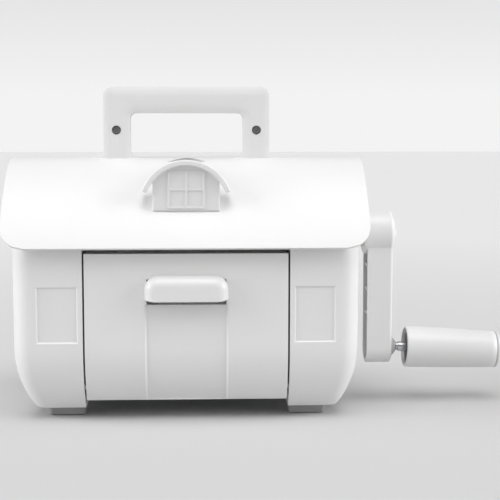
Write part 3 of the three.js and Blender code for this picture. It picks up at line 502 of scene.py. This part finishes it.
# %% Handle halves
HANDLE = {"half_x": 70.5, "top_z": 274.2, "bar": 22.2, "half_y": 13, "corner_r": 8, "hole_r": 5, "root_r": 6.5,
          "chamfer": 7, "chamfer_deep": 2.6, "foot_z": 214.5, "screw_x": 59.4, "screw_z": 237.6}


def handle_half():
    out_x, in_x = HANDLE["half_x"], HANDLE["half_x"] - HANDLE["bar"]
    top_z, in_z, foot_z = HANDLE["top_z"], HANDLE["top_z"] - HANDLE["bar"], HANDLE["foot_z"]
    deep_z = foot_z - 16
    left = [(-in_x + 10, deep_z), (-in_x + 10, foot_z), (-in_x, foot_z), (-in_x, in_z)]
    right = [(in_x, in_z), (in_x, foot_z), (in_x - 10, foot_z), (in_x - 10, deep_z)]
    outer = [(out_x + 13, deep_z), (out_x + 13, foot_z), (out_x, foot_z), (out_x, top_z)]
    outline = left + right + outer + [(-u, v) for u, v in reversed(outer)]
    bm = prism("y", outline, -0.15, -HANDLE["half_y"] + HANDLE["chamfer_deep"])
    for x, z, radius in ((out_x, top_z, "corner_r"), (in_x, in_z, "hole_r"), (out_x, foot_z, "root_r"),
                         (in_x, foot_z, "hole_r")):
        round_edges(bm, edges_along(bm, "y", lambda co: math.isclose(abs(co.x), x, abs_tol=0.01)
                                    and math.isclose(co.z, z, abs_tol=0.01)), HANDLE[radius], 6)
    front = [face for face in bm.faces if face.normal.y < -0.99]
    bmesh.ops.inset_region(bm, faces=front, thickness=HANDLE["chamfer"], depth=HANDLE["chamfer_deep"],
                           use_even_offset=True)
    bmesh.ops.recalc_face_normals(bm, faces=bm.faces)
    return bm


def screw_wells(depth, radius):
    wells = [bar(0, depth, radius, steps=40) for _ in (-1, 1)]
    for side, well in zip((-1, 1), wells):
        move = Matrix.Translation((side * HANDLE["screw_x"], -HANDLE["half_y"] - 0.5, HANDLE["screw_z"]))
        bmesh.ops.transform(well, matrix=move @ Matrix.Rotation(math.pi / 2, 4, "Z"), verts=well.verts)
    return add(wells[0], wells[1])


handle_front = piece("handle_front", handle_half(), "frame", WHITE, ["roof_front_shell"], soft=1.1)
carve(handle_front, screw_wells(3.2, 3.9))
piece("handle_rear", flip(handle_half(), "y"), "frame", WHITE, ["roof_rear_shell"], soft=1.1)

# %% [markdown]
# ## Screws
# A pan-head screw is a turned shape with a cross pressed into its head. The head is spun, and the cross is two
# narrow bars cut out of it.

# %% Cross-head screws
def screw(name, head_r, head_h, shank_r, shank, matrix, body, material):
    """A screw drawn along X, head towards -X with its seat at the origin, then moved by a matrix."""
    crown = [(-head_h * math.sin(math.radians(a)), head_r * (0.62 + 0.38 * math.cos(math.radians(a))))
             for a in (0, 25, 50, 72, 90)]
    bm = turned([(shank, 0), (shank, shank_r), (0, shank_r)] + crown + [(-head_h, 0)], steps=40)
    bmesh.ops.transform(bm, matrix=matrix, verts=bm.verts)
    obj = piece(name, bm, body, material, soft=0.12)
    arm, half, deep = head_r * 0.56, head_r * 0.11, head_h * 0.55
    for quarter in (32, 122):
        cut = slab(-head_h - 1, -head_h + deep, -arm, arm, -half, half)
        bmesh.ops.transform(cut, matrix=matrix @ Matrix.Rotation(math.radians(quarter), 4, "X"), verts=cut.verts)
        bmesh.ops.recalc_face_normals(cut, faces=cut.faces)
        carve(obj, cut)
    print(f"{name}: {len(obj.data.polygons)} faces with its cross")


for side, label in ((-1, "left"), (1, "right")):
    seat = Matrix.Translation((side * HANDLE["screw_x"], -HANDLE["half_y"] + 2.7, HANDLE["screw_z"]))
    screw(f"handle_screw_{label}", 3.5, 2.0, 1.6, 15, seat @ Matrix.Rotation(math.pi / 2, 4, "Z"), "frame",
          BLACK_STEEL)

# %% [markdown]
# ## The dormer
# The dormer is a small moulding let into the front slope: a flat wall with an arched top, an eyebrow brim that
# hangs over it, and a four-pane window. The arch is an arc swung over the wall's two corners, and the brim is the
# band between two arcs, pushed forward.

# %% Dormer wall, brim and window
DORMER = {"arch_z": 175.3, "wall_r": 36.8, "brim_r": 38.3, "brim_in_r": 33.9, "half_x": 27, "sill_z": 172.6,
          "face_y": -70, "back_y": -20, "brim_y": -74, "brim_back_y": -60, "brim_end_z": 188.5}


def fill(bm):
    """Fills the closed outline that was drawn with edges."""
    return bmesh.ops.contextual_create(bm, geom=bm.edges[:])["faces"]


def dormer_wall():
    bm = bmesh.new()
    half, centre = DORMER["half_x"], (0, 0, DORMER["arch_z"])
    spread_deg = 2 * math.degrees(math.asin(half / DORMER["wall_r"]))
    eave_z = DORMER["arch_z"] + math.sqrt(DORMER["wall_r"] ** 2 - half ** 2)
    start = bm.verts.new((-half, DORMER["back_y"], eave_z))
    stop = swing(bm, start, (0, 1, 0), centre, spread_deg, 26)
    corners = [stop, bm.verts.new((half, DORMER["back_y"], DORMER["sill_z"])),
               bm.verts.new((-half, DORMER["back_y"], DORMER["sill_z"])), start]
    for pair in zip(corners, corners[1:]):
        bm.edges.new(pair)
    push(bm, fill(bm), (0, DORMER["face_y"] - DORMER["back_y"], 0))
    bmesh.ops.recalc_face_normals(bm, faces=bm.faces)
    return bm


def dormer_brim():
    bm = bmesh.new()
    centre = (0, 0, DORMER["arch_z"])
    half_turn = math.degrees(math.acos((DORMER["brim_end_z"] - DORMER["arch_z"]) / DORMER["brim_r"]))
    ends = []
    for radius in (DORMER["brim_r"], DORMER["brim_in_r"]):
        angle = math.radians(half_turn)
        start = bm.verts.new((-radius * math.sin(angle), DORMER["brim_back_y"],
                              DORMER["arch_z"] + radius * math.cos(angle)))
        ends.append((start, swing(bm, start, (0, 1, 0), centre, 2 * half_turn, 40)))
    for first, second in zip(*ends):
        bm.edges.new((first, second))
    push(bm, fill(bm), (0, DORMER["brim_y"] - DORMER["brim_back_y"], 0))
    bmesh.ops.recalc_face_normals(bm, faces=bm.faces)
    return bm


WINDOW = {"half_x": 14.3, "low_z": 175.2, "high_z": 204.2, "bar": 1.5, "proud": 0.9, "root": 0.5}


def window_bars():
    half_x, low_z, high_z, half = WINDOW["half_x"], WINDOW["low_z"], WINDOW["high_z"], WINDOW["bar"] / 2
    front, back = DORMER["face_y"] - WINDOW["proud"], DORMER["face_y"] + WINDOW["root"]
    uprights = [slab(x - half, x + half, front, back, low_z, high_z) for x in (-half_x, 0, half_x)]
    across = [slab(-half_x, half_x, front + WINDOW["proud"] * 0.1, back, z - half, z + half)
              for z in (low_z, (low_z + high_z) / 2, high_z)]
    return add(*uprights, *across)


piece("dormer_wall", dormer_wall(), "frame", WHITE, ["dormer_window"], soft=0.8)
piece("dormer_brim", dormer_brim(), "frame", WHITE, ["dormer_window"], soft=1.1)
piece("dormer_bars", window_bars(), "frame", WHITE, ["dormer_window"], soft=0.35)

# %% [markdown]
# ## The towers
# A tower's wall is upright above and curves under below, to the front, the rear and the outer side. Its plan is
# drawn once, at the floor, and extruded up from level to level; each level is pulled in by its own share of the
# curve, and the last one follows the underside of the roof. The doorway for the frame plate is left open, and the
# window panel is pushed in.

# %% Tower walls
BODY = {"half_x": 141, "half_y": 78, "corner_r": 16, "curve_z": 62, "front_r": 76, "side_r": 103,
        "inner_x": 83.8, "passage_y": 36, "passage_z": 172, "wall": 2.5}
PANEL = {"x0": 87.6, "x1": 121, "z0": 66, "z1": 112, "deep": 1.0, "slope": 1.1}


def curve_in(radius, z):
    """How far a wall has curved in below its upright part."""
    below = max(0, BODY["curve_z"] - z)
    return radius - math.sqrt(radius ** 2 - below ** 2)


def tower_point(plan, z):
    """A plan point lifted to a level and pulled in with the curve."""
    width = BODY["half_x"] - BODY["inner_x"]
    across = (plan.x - BODY["inner_x"]) * (1 - curve_in(BODY["side_r"], z) / width)
    along = plan.y * (1 - curve_in(BODY["front_r"], z) / BODY["half_y"]) if abs(plan.y) > BODY["passage_y"] else plan.y
    return Vector((BODY["inner_x"] + across, along, z))


def tower_plan(bm):
    """The plan at the floor: two rounded outer corners, and steps along the side for the gable's curve."""
    half_x, half_y, r = BODY["half_x"], BODY["half_y"], BODY["corner_r"]
    first = bm.verts.new((BODY["inner_x"], -half_y, 0))
    steps = [bm.verts.new((x, -half_y, 0)) for x in (PANEL["x0"], PANEL["x1"], half_x - r)]
    corner = swing(bm, steps[-1], (0, 0, 1), (half_x - r, -half_y + r, 0), 90, 10)
    count = 16
    side = [bm.verts.new((half_x, (half_y - r) * (2 * k / count - 1), 0)) for k in range(1, count + 1)]
    turn = swing(bm, side[-1], (0, 0, 1), (half_x - r, half_y - r, 0), 90, 10)
    inner = [(PANEL["x1"], half_y), (PANEL["x0"], half_y), (BODY["inner_x"], half_y),
             (BODY["inner_x"], BODY["passage_y"]), (BODY["inner_x"], -BODY["passage_y"])]
    rest = [bm.verts.new((x, y, 0)) for x, y in inner]
    for run in ([first, *steps], [corner, *side], [turn, *rest, first]):
        for pair in zip(run, run[1:]):
            bm.edges.new(pair)


def tower():
    bm = bmesh.new()
    tower_plan(bm)
    plans = {}
    curve = [BODY["curve_z"] - BODY["front_r"] * math.sin(math.radians(44.7 * (1 - k / 14))) for k in range(15)]
    levels = [*curve, PANEL["z0"], PANEL["z1"], 140, BODY["passage_z"], 999]
    tag = bm.verts.layers.int.new("plan")
    bm.verts.ensure_lookup_table()
    for number, vert in enumerate(bm.verts):
        vert[tag] = number
        plans[number] = vert.co.copy()
    ring_edges = bm.edges[:]
    for number, level in enumerate(levels):
        if number:
            lifted = bmesh.ops.extrude_edge_only(bm, edges=ring_edges)
            ring_edges = edges_of(lifted)
        for vert in {vert for edge in ring_edges for vert in edge.verts}:
            plan = plans[vert[tag]]
            top = under_roof(plan.y, ROOF["thick"] + 0.4)
            vert.co = tower_point(plan, min(level, top))
            vert.co.z = min(level, top)
        if not number:
            bmesh.ops.contextual_create(bm, geom=ring_edges)
    bmesh.ops.remove_doubles(bm, verts=bm.verts, dist=0.005)
    bmesh.ops.dissolve_degenerate(bm, dist=0.01, edges=bm.edges)
    bmesh.ops.recalc_face_normals(bm, faces=bm.faces)
    open_tower(bm)
    return bm


def shrink_about_middle(bm, verts, slope):
    """Draws a rectangle of vertices in by the same amount on every side, so that its walls slope."""
    for axis in (0, 2):
        middle = sum(vert.co[axis] for vert in verts) / len(verts)
        for vert in verts:
            vert.co[axis] -= math.copysign(slope, vert.co[axis] - middle)


def open_tower(bm):
    """Takes out the doorway and sinks the window panels."""
    def centre(face):
        return face.calc_center_median()
    doorway = [face for face in bm.faces if abs(centre(face).x - BODY["inner_x"]) < 0.01
               and abs(centre(face).y) < BODY["passage_y"] and 11 < centre(face).z < BODY["passage_z"]]
    bmesh.ops.delete(bm, geom=doorway, context="FACES")
    for side in (-1, 1):
        panel = [face for face in bm.faces if PANEL["x0"] < centre(face).x < PANEL["x1"]
                 and PANEL["z0"] < centre(face).z < PANEL["z1"] and side * centre(face).y > 70]
        sunk = push(bm, panel, (0, -side * PANEL["deep"], 0))
        shrink_about_middle(bm, sunk, PANEL["slope"])


piece("right_housing", tower(), "frame", WHITE, soft=0.35, wall=BODY["wall"])
piece("left_housing", flip(tower(), "x"), "frame", WHITE, soft=0.35, wall=BODY["wall"])

# %% [markdown]
# ## The doors
# A door is a deep curved shell, closed from behind by the feed table. Its outline is drawn on its side, with the
# curve swung in, and extruded across in steps that mark where the sunken strip and the finger pocket go. Those faces
# are then pushed in. The pull is a hood of its own that covers the pocket from above.

# %% Door shells
DOOR = {"half_x": 82.3, "top_z": 138.8, "low_z": 16, "rim_y": -36.3, "table_y": -33, "table_low_z": 20,
        "table_top_z": 137, "strip_x": 33.7, "strip_top_z": 97.4, "strip_deep": 1.2,
        "strip_slope": 1.3, "pocket_x": 32.2, "pocket_top_z": 118, "pocket_y": -64}


def door_outline(bm, x):
    """Drawn from the rim's top, over the front and round the curve, back to the rim's foot."""
    front = [bm.verts.new((x, -BODY["half_y"], z)) for z in
             (DOOR["top_z"], DOOR["pocket_top_z"], DOOR["strip_top_z"], BODY["curve_z"])]
    centre = (x, BODY["front_r"] - BODY["half_y"], BODY["curve_z"])
    turn = math.degrees(math.asin((BODY["curve_z"] - DOOR["low_z"]) / BODY["front_r"]))
    foot = swing(bm, front[-1], (1, 0, 0), centre, turn, 16)
    rim = [bm.verts.new((x, DOOR["rim_y"], DOOR["table_low_z"])), bm.verts.new((x, DOOR["rim_y"], DOOR["top_z"]))]
    for run in (front, [foot, *rim, front[0]]):
        for pair in zip(run, run[1:]):
            bm.edges.new(pair)


def door_shell():
    bm = bmesh.new()
    stops = [DOOR["pocket_x"], DOOR["strip_x"], DOOR["half_x"]]
    columns = [-x for x in reversed(stops)] + stops
    door_outline(bm, columns[0])
    ring_edges = bm.edges[:]
    bmesh.ops.contextual_create(bm, geom=ring_edges)
    for here, after in zip(columns, columns[1:]):
        strip = bmesh.ops.extrude_edge_only(bm, edges=ring_edges)
        bmesh.ops.translate(bm, vec=(after - here, 0, 0), verts=verts_of(strip))
        ring_edges = edges_of(strip)
    bmesh.ops.contextual_create(bm, geom=ring_edges)
    bmesh.ops.recalc_face_normals(bm, faces=bm.faces)
    sink_strip(bm)
    return bm


def sink_strip(bm):
    outside = {face: face.calc_center_median() for face in bm.faces if face.normal.y < -0.5}
    pocket = [face for face, centre in outside.items() if abs(centre.x) < DOOR["pocket_x"]
              and DOOR["strip_top_z"] < centre.z < DOOR["pocket_top_z"]]
    push(bm, pocket, (0, DOOR["pocket_y"] + BODY["half_y"], 0))
    strip = [face for face, centre in outside.items() if face.is_valid and abs(centre.x) < DOOR["strip_x"]
             and centre.z < DOOR["strip_top_z"]]
    verts = push(bm, strip, (0, 0, 0))
    centre = Vector((0, BODY["front_r"] - BODY["half_y"], BODY["curve_z"]))
    for vert in verts:
        inward = Vector((0, centre.y - vert.co.y, max(0, centre.z - vert.co.z)))
        vert.co += inward.normalized() * DOOR["strip_deep"]
        if abs(vert.co.x) > DOOR["strip_x"] - 0.01:
            vert.co.x -= math.copysign(DOOR["strip_slope"], vert.co.x)

# %% [markdown]
# The hood starts as a flat plate with rounded upper corners. Pushing it forward and rolling its front edges over
# gives the soft pillow, and its underside is taken off so that it is a shell that fingers can reach behind.

# %% Door pulls
HOOD = {"half_x": 33.7, "lip_z": 100.3, "top_z": 121.2, "deep": 10.3, "corner_r": 11, "edge_r": 8.4, "wall": 2.2,
        "lip_rise": 1.7}


def door_pull():
    half, low, top = HOOD["half_x"], HOOD["lip_z"], HOOD["top_z"]
    face_y = -BODY["half_y"]
    outline = [(-half, low - 12), (half, low - 12), (half, top), (-half, top)]
    bm = prism("y", outline, face_y + 0.6, face_y - HOOD["deep"])
    round_edges(bm, edges_along(bm, "y", lambda co: co.z > top - 0.01 and abs(co.x) > half - 0.01), HOOD["corner_r"], 8)
    front = [edge for edge in edges_where(bm, lambda co: co.y < face_y - HOOD["deep"] + 0.01)
             if not all(vert.co.z < low - 11 for vert in edge.verts)]
    round_edges(bm, front, HOOD["edge_r"], 8)
    bmesh.ops.bisect_plane(bm, geom=bm.verts[:] + bm.edges[:] + bm.faces[:], plane_co=(0, 0, low),
                           plane_no=(0, 0, -1), clear_outer=True)
    for vert in bm.verts:
        if vert.co.z < low + 0.01:
            vert.co.z += HOOD["lip_rise"] * abs(vert.co.x / half) ** 5
    back = [face for face in bm.faces if face.normal.y > 0.9 and face.calc_center_median().y > face_y]
    bmesh.ops.delete(bm, geom=back, context="FACES")
    bmesh.ops.recalc_face_normals(bm, faces=bm.faces)
    if sum(face.normal.y * face.calc_area() for face in bm.faces) > 0:
        bmesh.ops.reverse_faces(bm, faces=bm.faces)
    return bm

# %% [markdown]
# The feed table is a flat board with low runners, which keep the plate stack from sticking to it.

# %% Feed tables, strikes and both doors
TABLE_STOPS = [3.2, 13.6, 16.8, 27.2, 30.4, 40.8, 44, 54.4, 57.6, 68, 71.2, 77]
GROOVE = {"deep": 0.7, "end": 6}


def feed_table():
    """A board whose grooves are sunk between its runners, all of them short of the board's ends."""
    bm = bmesh.new()
    columns = [-DOOR["half_x"], *[-x for x in reversed(TABLE_STOPS)], *TABLE_STOPS, DOOR["half_x"]]
    low, top = DOOR["table_low_z"], DOOR["table_top_z"]
    levels = [low, low + GROOVE["end"], top - GROOVE["end"], top]
    verts = [bm.verts.new((columns[0], DOOR["table_y"], z)) for z in levels]
    row = [bm.edges.new(pair) for pair in zip(verts, verts[1:])]
    for here, after in zip(columns, columns[1:]):
        strip = bmesh.ops.extrude_edge_only(bm, edges=row)
        bmesh.ops.translate(bm, vec=(after - here, 0, 0), verts=verts_of(strip))
        row = edges_of(strip)
    solid = bmesh.ops.extrude_face_region(bm, geom=bm.faces[:])
    bmesh.ops.translate(bm, vec=(0, DOOR["rim_y"] + 0.3 - DOOR["table_y"], 0), verts=verts_of(solid))
    bmesh.ops.recalc_face_normals(bm, faces=bm.faces)
    grooves = []
    for left, right in zip(TABLE_STOPS[0::2], TABLE_STOPS[1::2]):
        grooves += [face for face in bm.faces if face.normal.y > 0.9
                    and left < abs(face.calc_center_median().x) < right
                    and levels[1] < face.calc_center_median().z < levels[2]]
    push(bm, grooves, (0, -GROOVE["deep"], 0))
    return bm


def same(bm, _axis):
    return bm


for label, turn in (("front", same), ("rear", flip)):
    body = f"{label}_door"
    piece(f"{label}_door_shell", turn(door_shell(), "y"), body, WHITE, soft=0.8)
    piece(f"{label}_door_pull", turn(door_pull(), "y"), body, WHITE, soft=0.5, wall=HOOD["wall"])
    piece(f"{label}_door_platform", turn(feed_table(), "y"), body, TABLE, soft=0.6)
    polished(f"{label}_door_strike", body, STEEL, soft=0.2)

# %% [markdown]
# ## The crank
# The arm is a hollow channel that is open towards the house, with cross ribs inside. A vertex swung half round
# draws its rounded foot. Its open side is inset and pushed in to make the channel, and its outer edges are rolled.

# %% Crank arm and hub
CRANK = {"z": 149, "in_x": 155.6, "out_x": 177.7, "half_y": 14.1, "foot_z": 48.1, "edge_r": 2.5, "wall": 2.5,
         "channel": 18.6, "hub_r": 18.9, "ribs": (120, 99, 78)}
CAP = {"x": 176.5, "rim_r": 15.5, "edge": 1.2, "top_x": 182.2}


def arc(centre_x, centre_r, radius, start, stop, steps):
    """Points (x, r) of a profile's round corner, by angles from the X axis."""
    angles = [math.radians(start + (stop - start) * k / steps) for k in range(steps + 1)]
    return [(centre_x + radius * math.cos(a), centre_r + radius * math.sin(a)) for a in angles]


def arm_bar():
    bm = bmesh.new()
    x, half, foot, top = CRANK["out_x"], CRANK["half_y"], CRANK["foot_z"], CRANK["z"]
    start = bm.verts.new((x, -half, foot))
    stop = swing(bm, start, (1, 0, 0), (x, 0, foot), 180, 24)
    corners = [stop, bm.verts.new((x, half, top)), bm.verts.new((x, -half, top)), start]
    for pair in zip(corners, corners[1:]):
        bm.edges.new(pair)
    push(bm, fill(bm), (CRANK["in_x"] - x, 0, 0))
    bmesh.ops.recalc_face_normals(bm, faces=bm.faces)
    open_side = [face for face in bm.faces if face.normal.x < -0.9]
    bmesh.ops.inset_region(bm, faces=open_side, thickness=CRANK["wall"])
    push(bm, open_side, (CRANK["channel"], 0, 0))
    rim = edges_where(bm, lambda co: co.x > x - 0.01)
    round_edges(bm, rim, CRANK["edge_r"], 5)
    return bm


def crank_arm():
    z, x0, x1, r, edge = CRANK["z"], 153, CRANK["out_x"], CRANK["hub_r"], CRANK["edge_r"]
    hub = turned([(144.6, 0), (144.6, 12), (x0, 12), (x0, r - 1.5), (x0 + 1.5, r)]
                 + arc(x1 - edge, r - edge, edge, 90, 0, 6) + [(x1 - 1.2, 15.8), (x1 - 1.2, 0)], z=z)
    boss = turned([(x1 - 1, 0), (x1 - 1, 10.6), (x1, 10.2), (x1 + 0.6, 9.4), (x1 + 3.6, 6.2), (x1 + 4.2, 5.4),
                   (x1 + 4.2, 0)], z=CRANK["foot_z"])
    socket = bar(CRANK["in_x"] + 3, x1 - 3, 8, z=CRANK["foot_z"])
    ribs = [slab(CRANK["in_x"] + 1.2, x1 - 3, -12, 12, rib_z - 1, rib_z + 1) for rib_z in CRANK["ribs"]]
    return add(arm_bar(), hub, boss, socket, *ribs)


def hub_cap():
    x0, rim, top = CAP["x"], CAP["rim_r"], CAP["top_x"]
    rise = top - x0 - CAP["edge"]
    sphere = (rim ** 2 + rise ** 2) / (2 * rise)
    spread_deg = math.degrees(math.asin(rim / sphere))
    return turned([(x0, 0), (x0, rim)] + arc(top - sphere, 0, sphere, spread_deg, 0, 14), z=CRANK["z"], steps=96)


piece("crank_arm", crank_arm(), "crank", WHITE, soft=0.35)
piece("crank_hub_cap", hub_cap(), "crank", WHITE, soft=0.35)

# %% [markdown]
# The grip spins on a steel spindle that leans down a little. It is a tapered sleeve with a faint swell, open at its
# inner end, where the core shows; the core is coloured near-black as painted shade for the hollow's dark mouth. Each
# part is spun about the X axis and then leaned with the spindle.

# %% Grip and spindle
SPINDLE = {"x": 178, "z": 48.1, "lean": 2.3, "r": 4.25}
GRIP = {"start": 12.8, "end": 92, "r_in": 18, "r_out": 15.8, "cap_end": 95.7}


def lean(bm):
    move = Matrix.Translation((SPINDLE["x"], 0, SPINDLE["z"])) @ Matrix.Rotation(math.radians(SPINDLE["lean"]), 4, "Y")
    bmesh.ops.transform(bm, matrix=move, verts=bm.verts)
    return bm


def grip_sleeve():
    start, end, r_in, r_out = GRIP["start"], GRIP["end"], GRIP["r_in"], GRIP["r_out"]
    outside = []
    for k in range(1, 15):
        t = k / 15
        outside.append((start + (end - start) * t, r_in + (r_out - r_in) * t + 0.35 * math.sin(math.pi * t)))
    mouth = arc(start + 1.2, r_in - 1.2, 1.2, 180, 90, 5)
    inner = [(end, r_out), (end, r_out - 3), (start + 12, r_in - 3), (start + 2, r_in - 2.2), (start, r_in - 1.9)]
    return turned([inner[-1], *mouth, *outside, *inner], steps=96)


def grip_core():
    start, end = GRIP["start"] + 2.5, GRIP["end"] - 5
    return turned([(start, 4.55), (start, 14.2), (start + 2.5, 14.2), (start + 2.5, 7), (end - 2, 7), (end - 2, 12.5),
                   (end, 12.5), (end, 4.55), (start, 4.55)])


def grip_cap():
    start, r = GRIP["end"] + 0.3, GRIP["r_out"]
    return turned([(start, 0), (start, r - 0.2)] + arc(GRIP["cap_end"] - 2.2, r - 2.2, 2.2, 80, 20, 6)
                  + [(GRIP["cap_end"] + 0.1, r * 0.5), (GRIP["cap_end"] + 0.2, 0)], steps=96)


def spindle():
    head = GRIP["end"] - 4.5
    return turned([(-11, 0), (-11, SPINDLE["r"]), (4.4, SPINDLE["r"]), (4.9, 3.5), (6.4, 3.5), (6.9, SPINDLE["r"]),
                   (head, SPINDLE["r"]), (head, 6.6), (head + 3, 6.6), (head + 3, 0)])


piece("grip_sleeve", lean(grip_sleeve()), "grip", WHITE, soft=0)
# The core's near-black colour is painted shade inside the grip's mouth.
piece("grip_core", lean(grip_core()), "grip", PAINTED_SHADE_CORE, soft=0.3)
piece("grip_end_cap", lean(grip_cap()), "grip", WHITE, soft=0)
piece("grip_spindle", lean(spindle()), "crank", STEEL, soft=0.2)

# %% [markdown]
# ## Inside the house
# The mechanism shows when a door is down. Round parts are spun afresh so that they are truly smooth, and flat plates
# and gears are polished copies of their CAD nodes, because their shape is right already.

# %% Rollers, shaft, bushes and rods
ROLLER = {"r": 15, "journal": 7, "half_x": 81, "left_x": -94, "low_z": 41, "high_z": 85, "high_end_x": 124,
          "low_end_x": 106.5}
SHAFT = {"x0": 80.5, "x1": 169.5, "r": 6}
HINGE_ROD = {"half_x": 86.3, "r": 2.5, "y": -62, "z": 27}
TIE_ROD = {"half_x": 84.2, "r": 4, "y": -18, "z": 22}


def roller(z, end_x):
    half, r, journal = ROLLER["half_x"], ROLLER["r"], ROLLER["journal"]
    return turned([(ROLLER["left_x"], 0), (ROLLER["left_x"], journal), (-half, journal), (-half, r), (half, r),
                   (half, journal), (end_x, journal), (end_x, 0)], z=z, steps=96)


def bush(z, r, bore, flange):
    return turned([(82, bore), (82, flange), (84.2, flange), (84.2, r), (90.5, r), (90.5, bore), (82, bore)], z=z)


piece("upper_roller", roller(ROLLER["high_z"], ROLLER["high_end_x"]), "upper_roller_set", STEEL, soft=0.6)
piece("lower_roller", roller(ROLLER["low_z"], ROLLER["low_end_x"]), "lower_roller_set", STEEL, soft=0.6)
piece("crank_shaft", bar(SHAFT["x0"], SHAFT["x1"], SHAFT["r"], z=CRANK["z"]), "crank", STEEL, soft=0.5)
for label, z in (("upper", ROLLER["high_z"]), ("lower", ROLLER["low_z"])):
    piece(f"{label}_right_bush", bush(z, 10, 7.3, 13), "frame", BRONZE, soft=0.3)
    piece(f"{label}_left_bush", flip(bush(z, 10, 7.3, 13), "x"), "frame", BRONZE, soft=0.3)
    piece(f"{label}_circlip", ring(-92.2, -91, 7.3, 10, z=z), f"{label}_roller_set", STEEL, soft=0.15)
piece("crank_inner_bush", bush(CRANK["z"], 9, 6.3, 12), "frame", BRONZE, soft=0.3)
piece("crank_outer_bush", add(ring(136.3, 141.5, 6.3, 9, z=CRANK["z"]), ring(141.3, 143.3, 6.3, 13, z=CRANK["z"])),
      "frame", BRONZE, soft=0.3)
for label, turn in (("front", same), ("rear", flip)):
    for name, rod in (("hinge_rod", HINGE_ROD), ("tie_rod", TIE_ROD)):
        long_bar = bar(-rod["half_x"], rod["half_x"], rod["r"], y=rod["y"], z=rod["z"])
        piece(f"{label}_{name}", turn(long_bar, "y"), "frame", STEEL, soft=0.3)

# %% Plates, gears, catches and the hidden screw
for node in ("base_plate", "left_frame_plate", "right_frame_plate"):
    polished(node, "frame", ZINC, soft=0.3)
for label in ("front", "rear"):
    polished(f"{label}_top_rail", "frame", ZINC, soft=0.6)
    polished(f"{label}_feed_bed", "frame", ZINC, soft=0.5)
    polished(f"{label}_catch_magnet", "frame", FERRITE, soft=0.3)
for gear, rollers in (("drive", "upper"), ("upper_sync", "upper"), ("lower_sync", "lower")):
    polished(f"{gear}_gear", f"{rollers}_roller_set", NYLON, soft=0.15)
polished("crank_pinion", "crank", STEEL, soft=0.1)
piece("crank_hub_screw", turned([(170.5, 0), (170.5, 3), (176.5, 3), (176.5, 5.5), (179, 5.5), (179, 0)],
                                z=CRANK["z"]), "crank", STEEL, soft=0.2)

# %% Feet and frame screws
FOOT = {"x": 100.8, "half_x": 15.2, "y": 36, "half_y": 9.5, "top_z": 8.2, "corner_r": 3}
FRAME_SCREW = {"x": 77, "y": 26.5, "z": 17.4}


def foot(side_x, side_y):
    x, y = side_x * FOOT["x"], side_y * FOOT["y"]
    bm = slab(x - FOOT["half_x"], x + FOOT["half_x"], y - FOOT["half_y"], y + FOOT["half_y"], 0, FOOT["top_z"])
    upright = [edge for edge in bm.edges if abs(edge.verts[0].co.z - edge.verts[1].co.z) > 1]
    round_edges(bm, upright, FOOT["corner_r"])
    return bm


for label_y, side_y in (("front", -1), ("rear", 1)):
    for label_x, side_x in (("left", -1), ("right", 1)):
        piece(f"{label_y}_{label_x}_foot", foot(side_x, side_y), "frame", RUBBER, soft=0.9)
        seat = Matrix.Translation((side_x * FRAME_SCREW["x"], side_y * FRAME_SCREW["y"], FRAME_SCREW["z"]))
        screw(f"{label_y}_{label_x}_frame_screw", 3.6, 2.2, 2, 6, seat @ Matrix.Rotation(math.pi / 2, 4, "Y"),
              "frame", STEEL)

# %% [markdown]
# ## Floor and light
# The machine stands on a plain pale floor in a bright, soft studio. A broad light overhead, tilted a little to the
# front, makes the roof the brightest part. Two broad lights from the sides catch the edges, because a white machine
# is drawn by its bright edges and dark gaps. Panels close by would do that too, but they leave hot spots on the floor.
# The room is brighter behind the machine than in front of it, which keeps the background pale.

# %% The floor
floor_finish, floor_shader = start_finish("studio_floor", {"Roughness": 0.9, "Specular IOR Level": 0.2})
nodes, links = floor_finish.node_tree.nodes, floor_finish.node_tree.links
place = nodes.new("ShaderNodeTexCoord")
distance = nodes.new("ShaderNodeVectorMath")
distance.operation = "LENGTH"
links.new(place.outputs["Object"], distance.inputs[0])
# The floor's colour is painted a little darker near the machine: painted shade round its foot, which also keeps the
# floor from throwing too much light back up.
links.new(spread(floor_finish, distance.outputs["Value"], 0.56, 0.66, start=0.35, stop=1.6),
          floor_shader.inputs["Base Color"])

sweep = bmesh.new()
bmesh.ops.create_grid(sweep, x_segments=1, y_segments=1, size=12)
floor_mesh = bpy.data.meshes.new("studio_floor")
sweep.to_mesh(floor_mesh)
sweep.free()
floor_mesh.materials.append(floor_finish)
floor = bpy.data.objects.new("studio_floor", floor_mesh)
bpy.context.scene.collection.objects.link(floor)
floor.location.z = -0.0005
print("floor:", floor_finish.name)


# %% The lights
def broad_light(name, direction, strength, width):
    """A light so far off and so wide that it leaves no hot spot on the floor."""
    light = bpy.data.lights.new(name, "SUN")
    light.energy = strength
    light.angle = math.radians(width)
    obj = bpy.data.objects.new(name, light)
    bpy.context.scene.collection.objects.link(obj)
    obj.rotation_euler = Vector(direction).to_track_quat("-Z", "Y").to_euler()


broad_light("top_light", (0, 0.38, -1), 1.35, 45)
broad_light("left_light", (1, 0.14, -0.36), 2.15, 40)
broad_light("right_light", (-1, 0.14, -0.36), 2.15, 40)

# %% The room
room = bpy.data.worlds.new("studio")
bpy.context.scene.world = room
room.use_nodes = True
nodes, links = room.node_tree.nodes, room.node_tree.links
where = nodes.new("ShaderNodeTexCoord")
direction = nodes.new("ShaderNodeSeparateXYZ")
links.new(where.outputs["Generated"], direction.inputs["Vector"])
both = nodes.new("ShaderNodeMath")
both.operation = "MULTIPLY"
links.new(spread(room, direction.outputs["Z"], 0.56, 0.32, start=0.03, stop=0.3), both.inputs[0])
links.new(spread(room, direction.outputs["Y"], 1.0, 1.6, start=0.2, stop=0.9), both.inputs[1])
links.new(both.outputs["Value"], nodes["Background"].inputs["Strength"])
nodes["Background"].inputs["Color"].default_value = (1, 1, 1, 1)
bpy.context.scene.view_settings.view_transform = "Standard"
print("view transform:", bpy.context.scene.view_settings.view_transform)
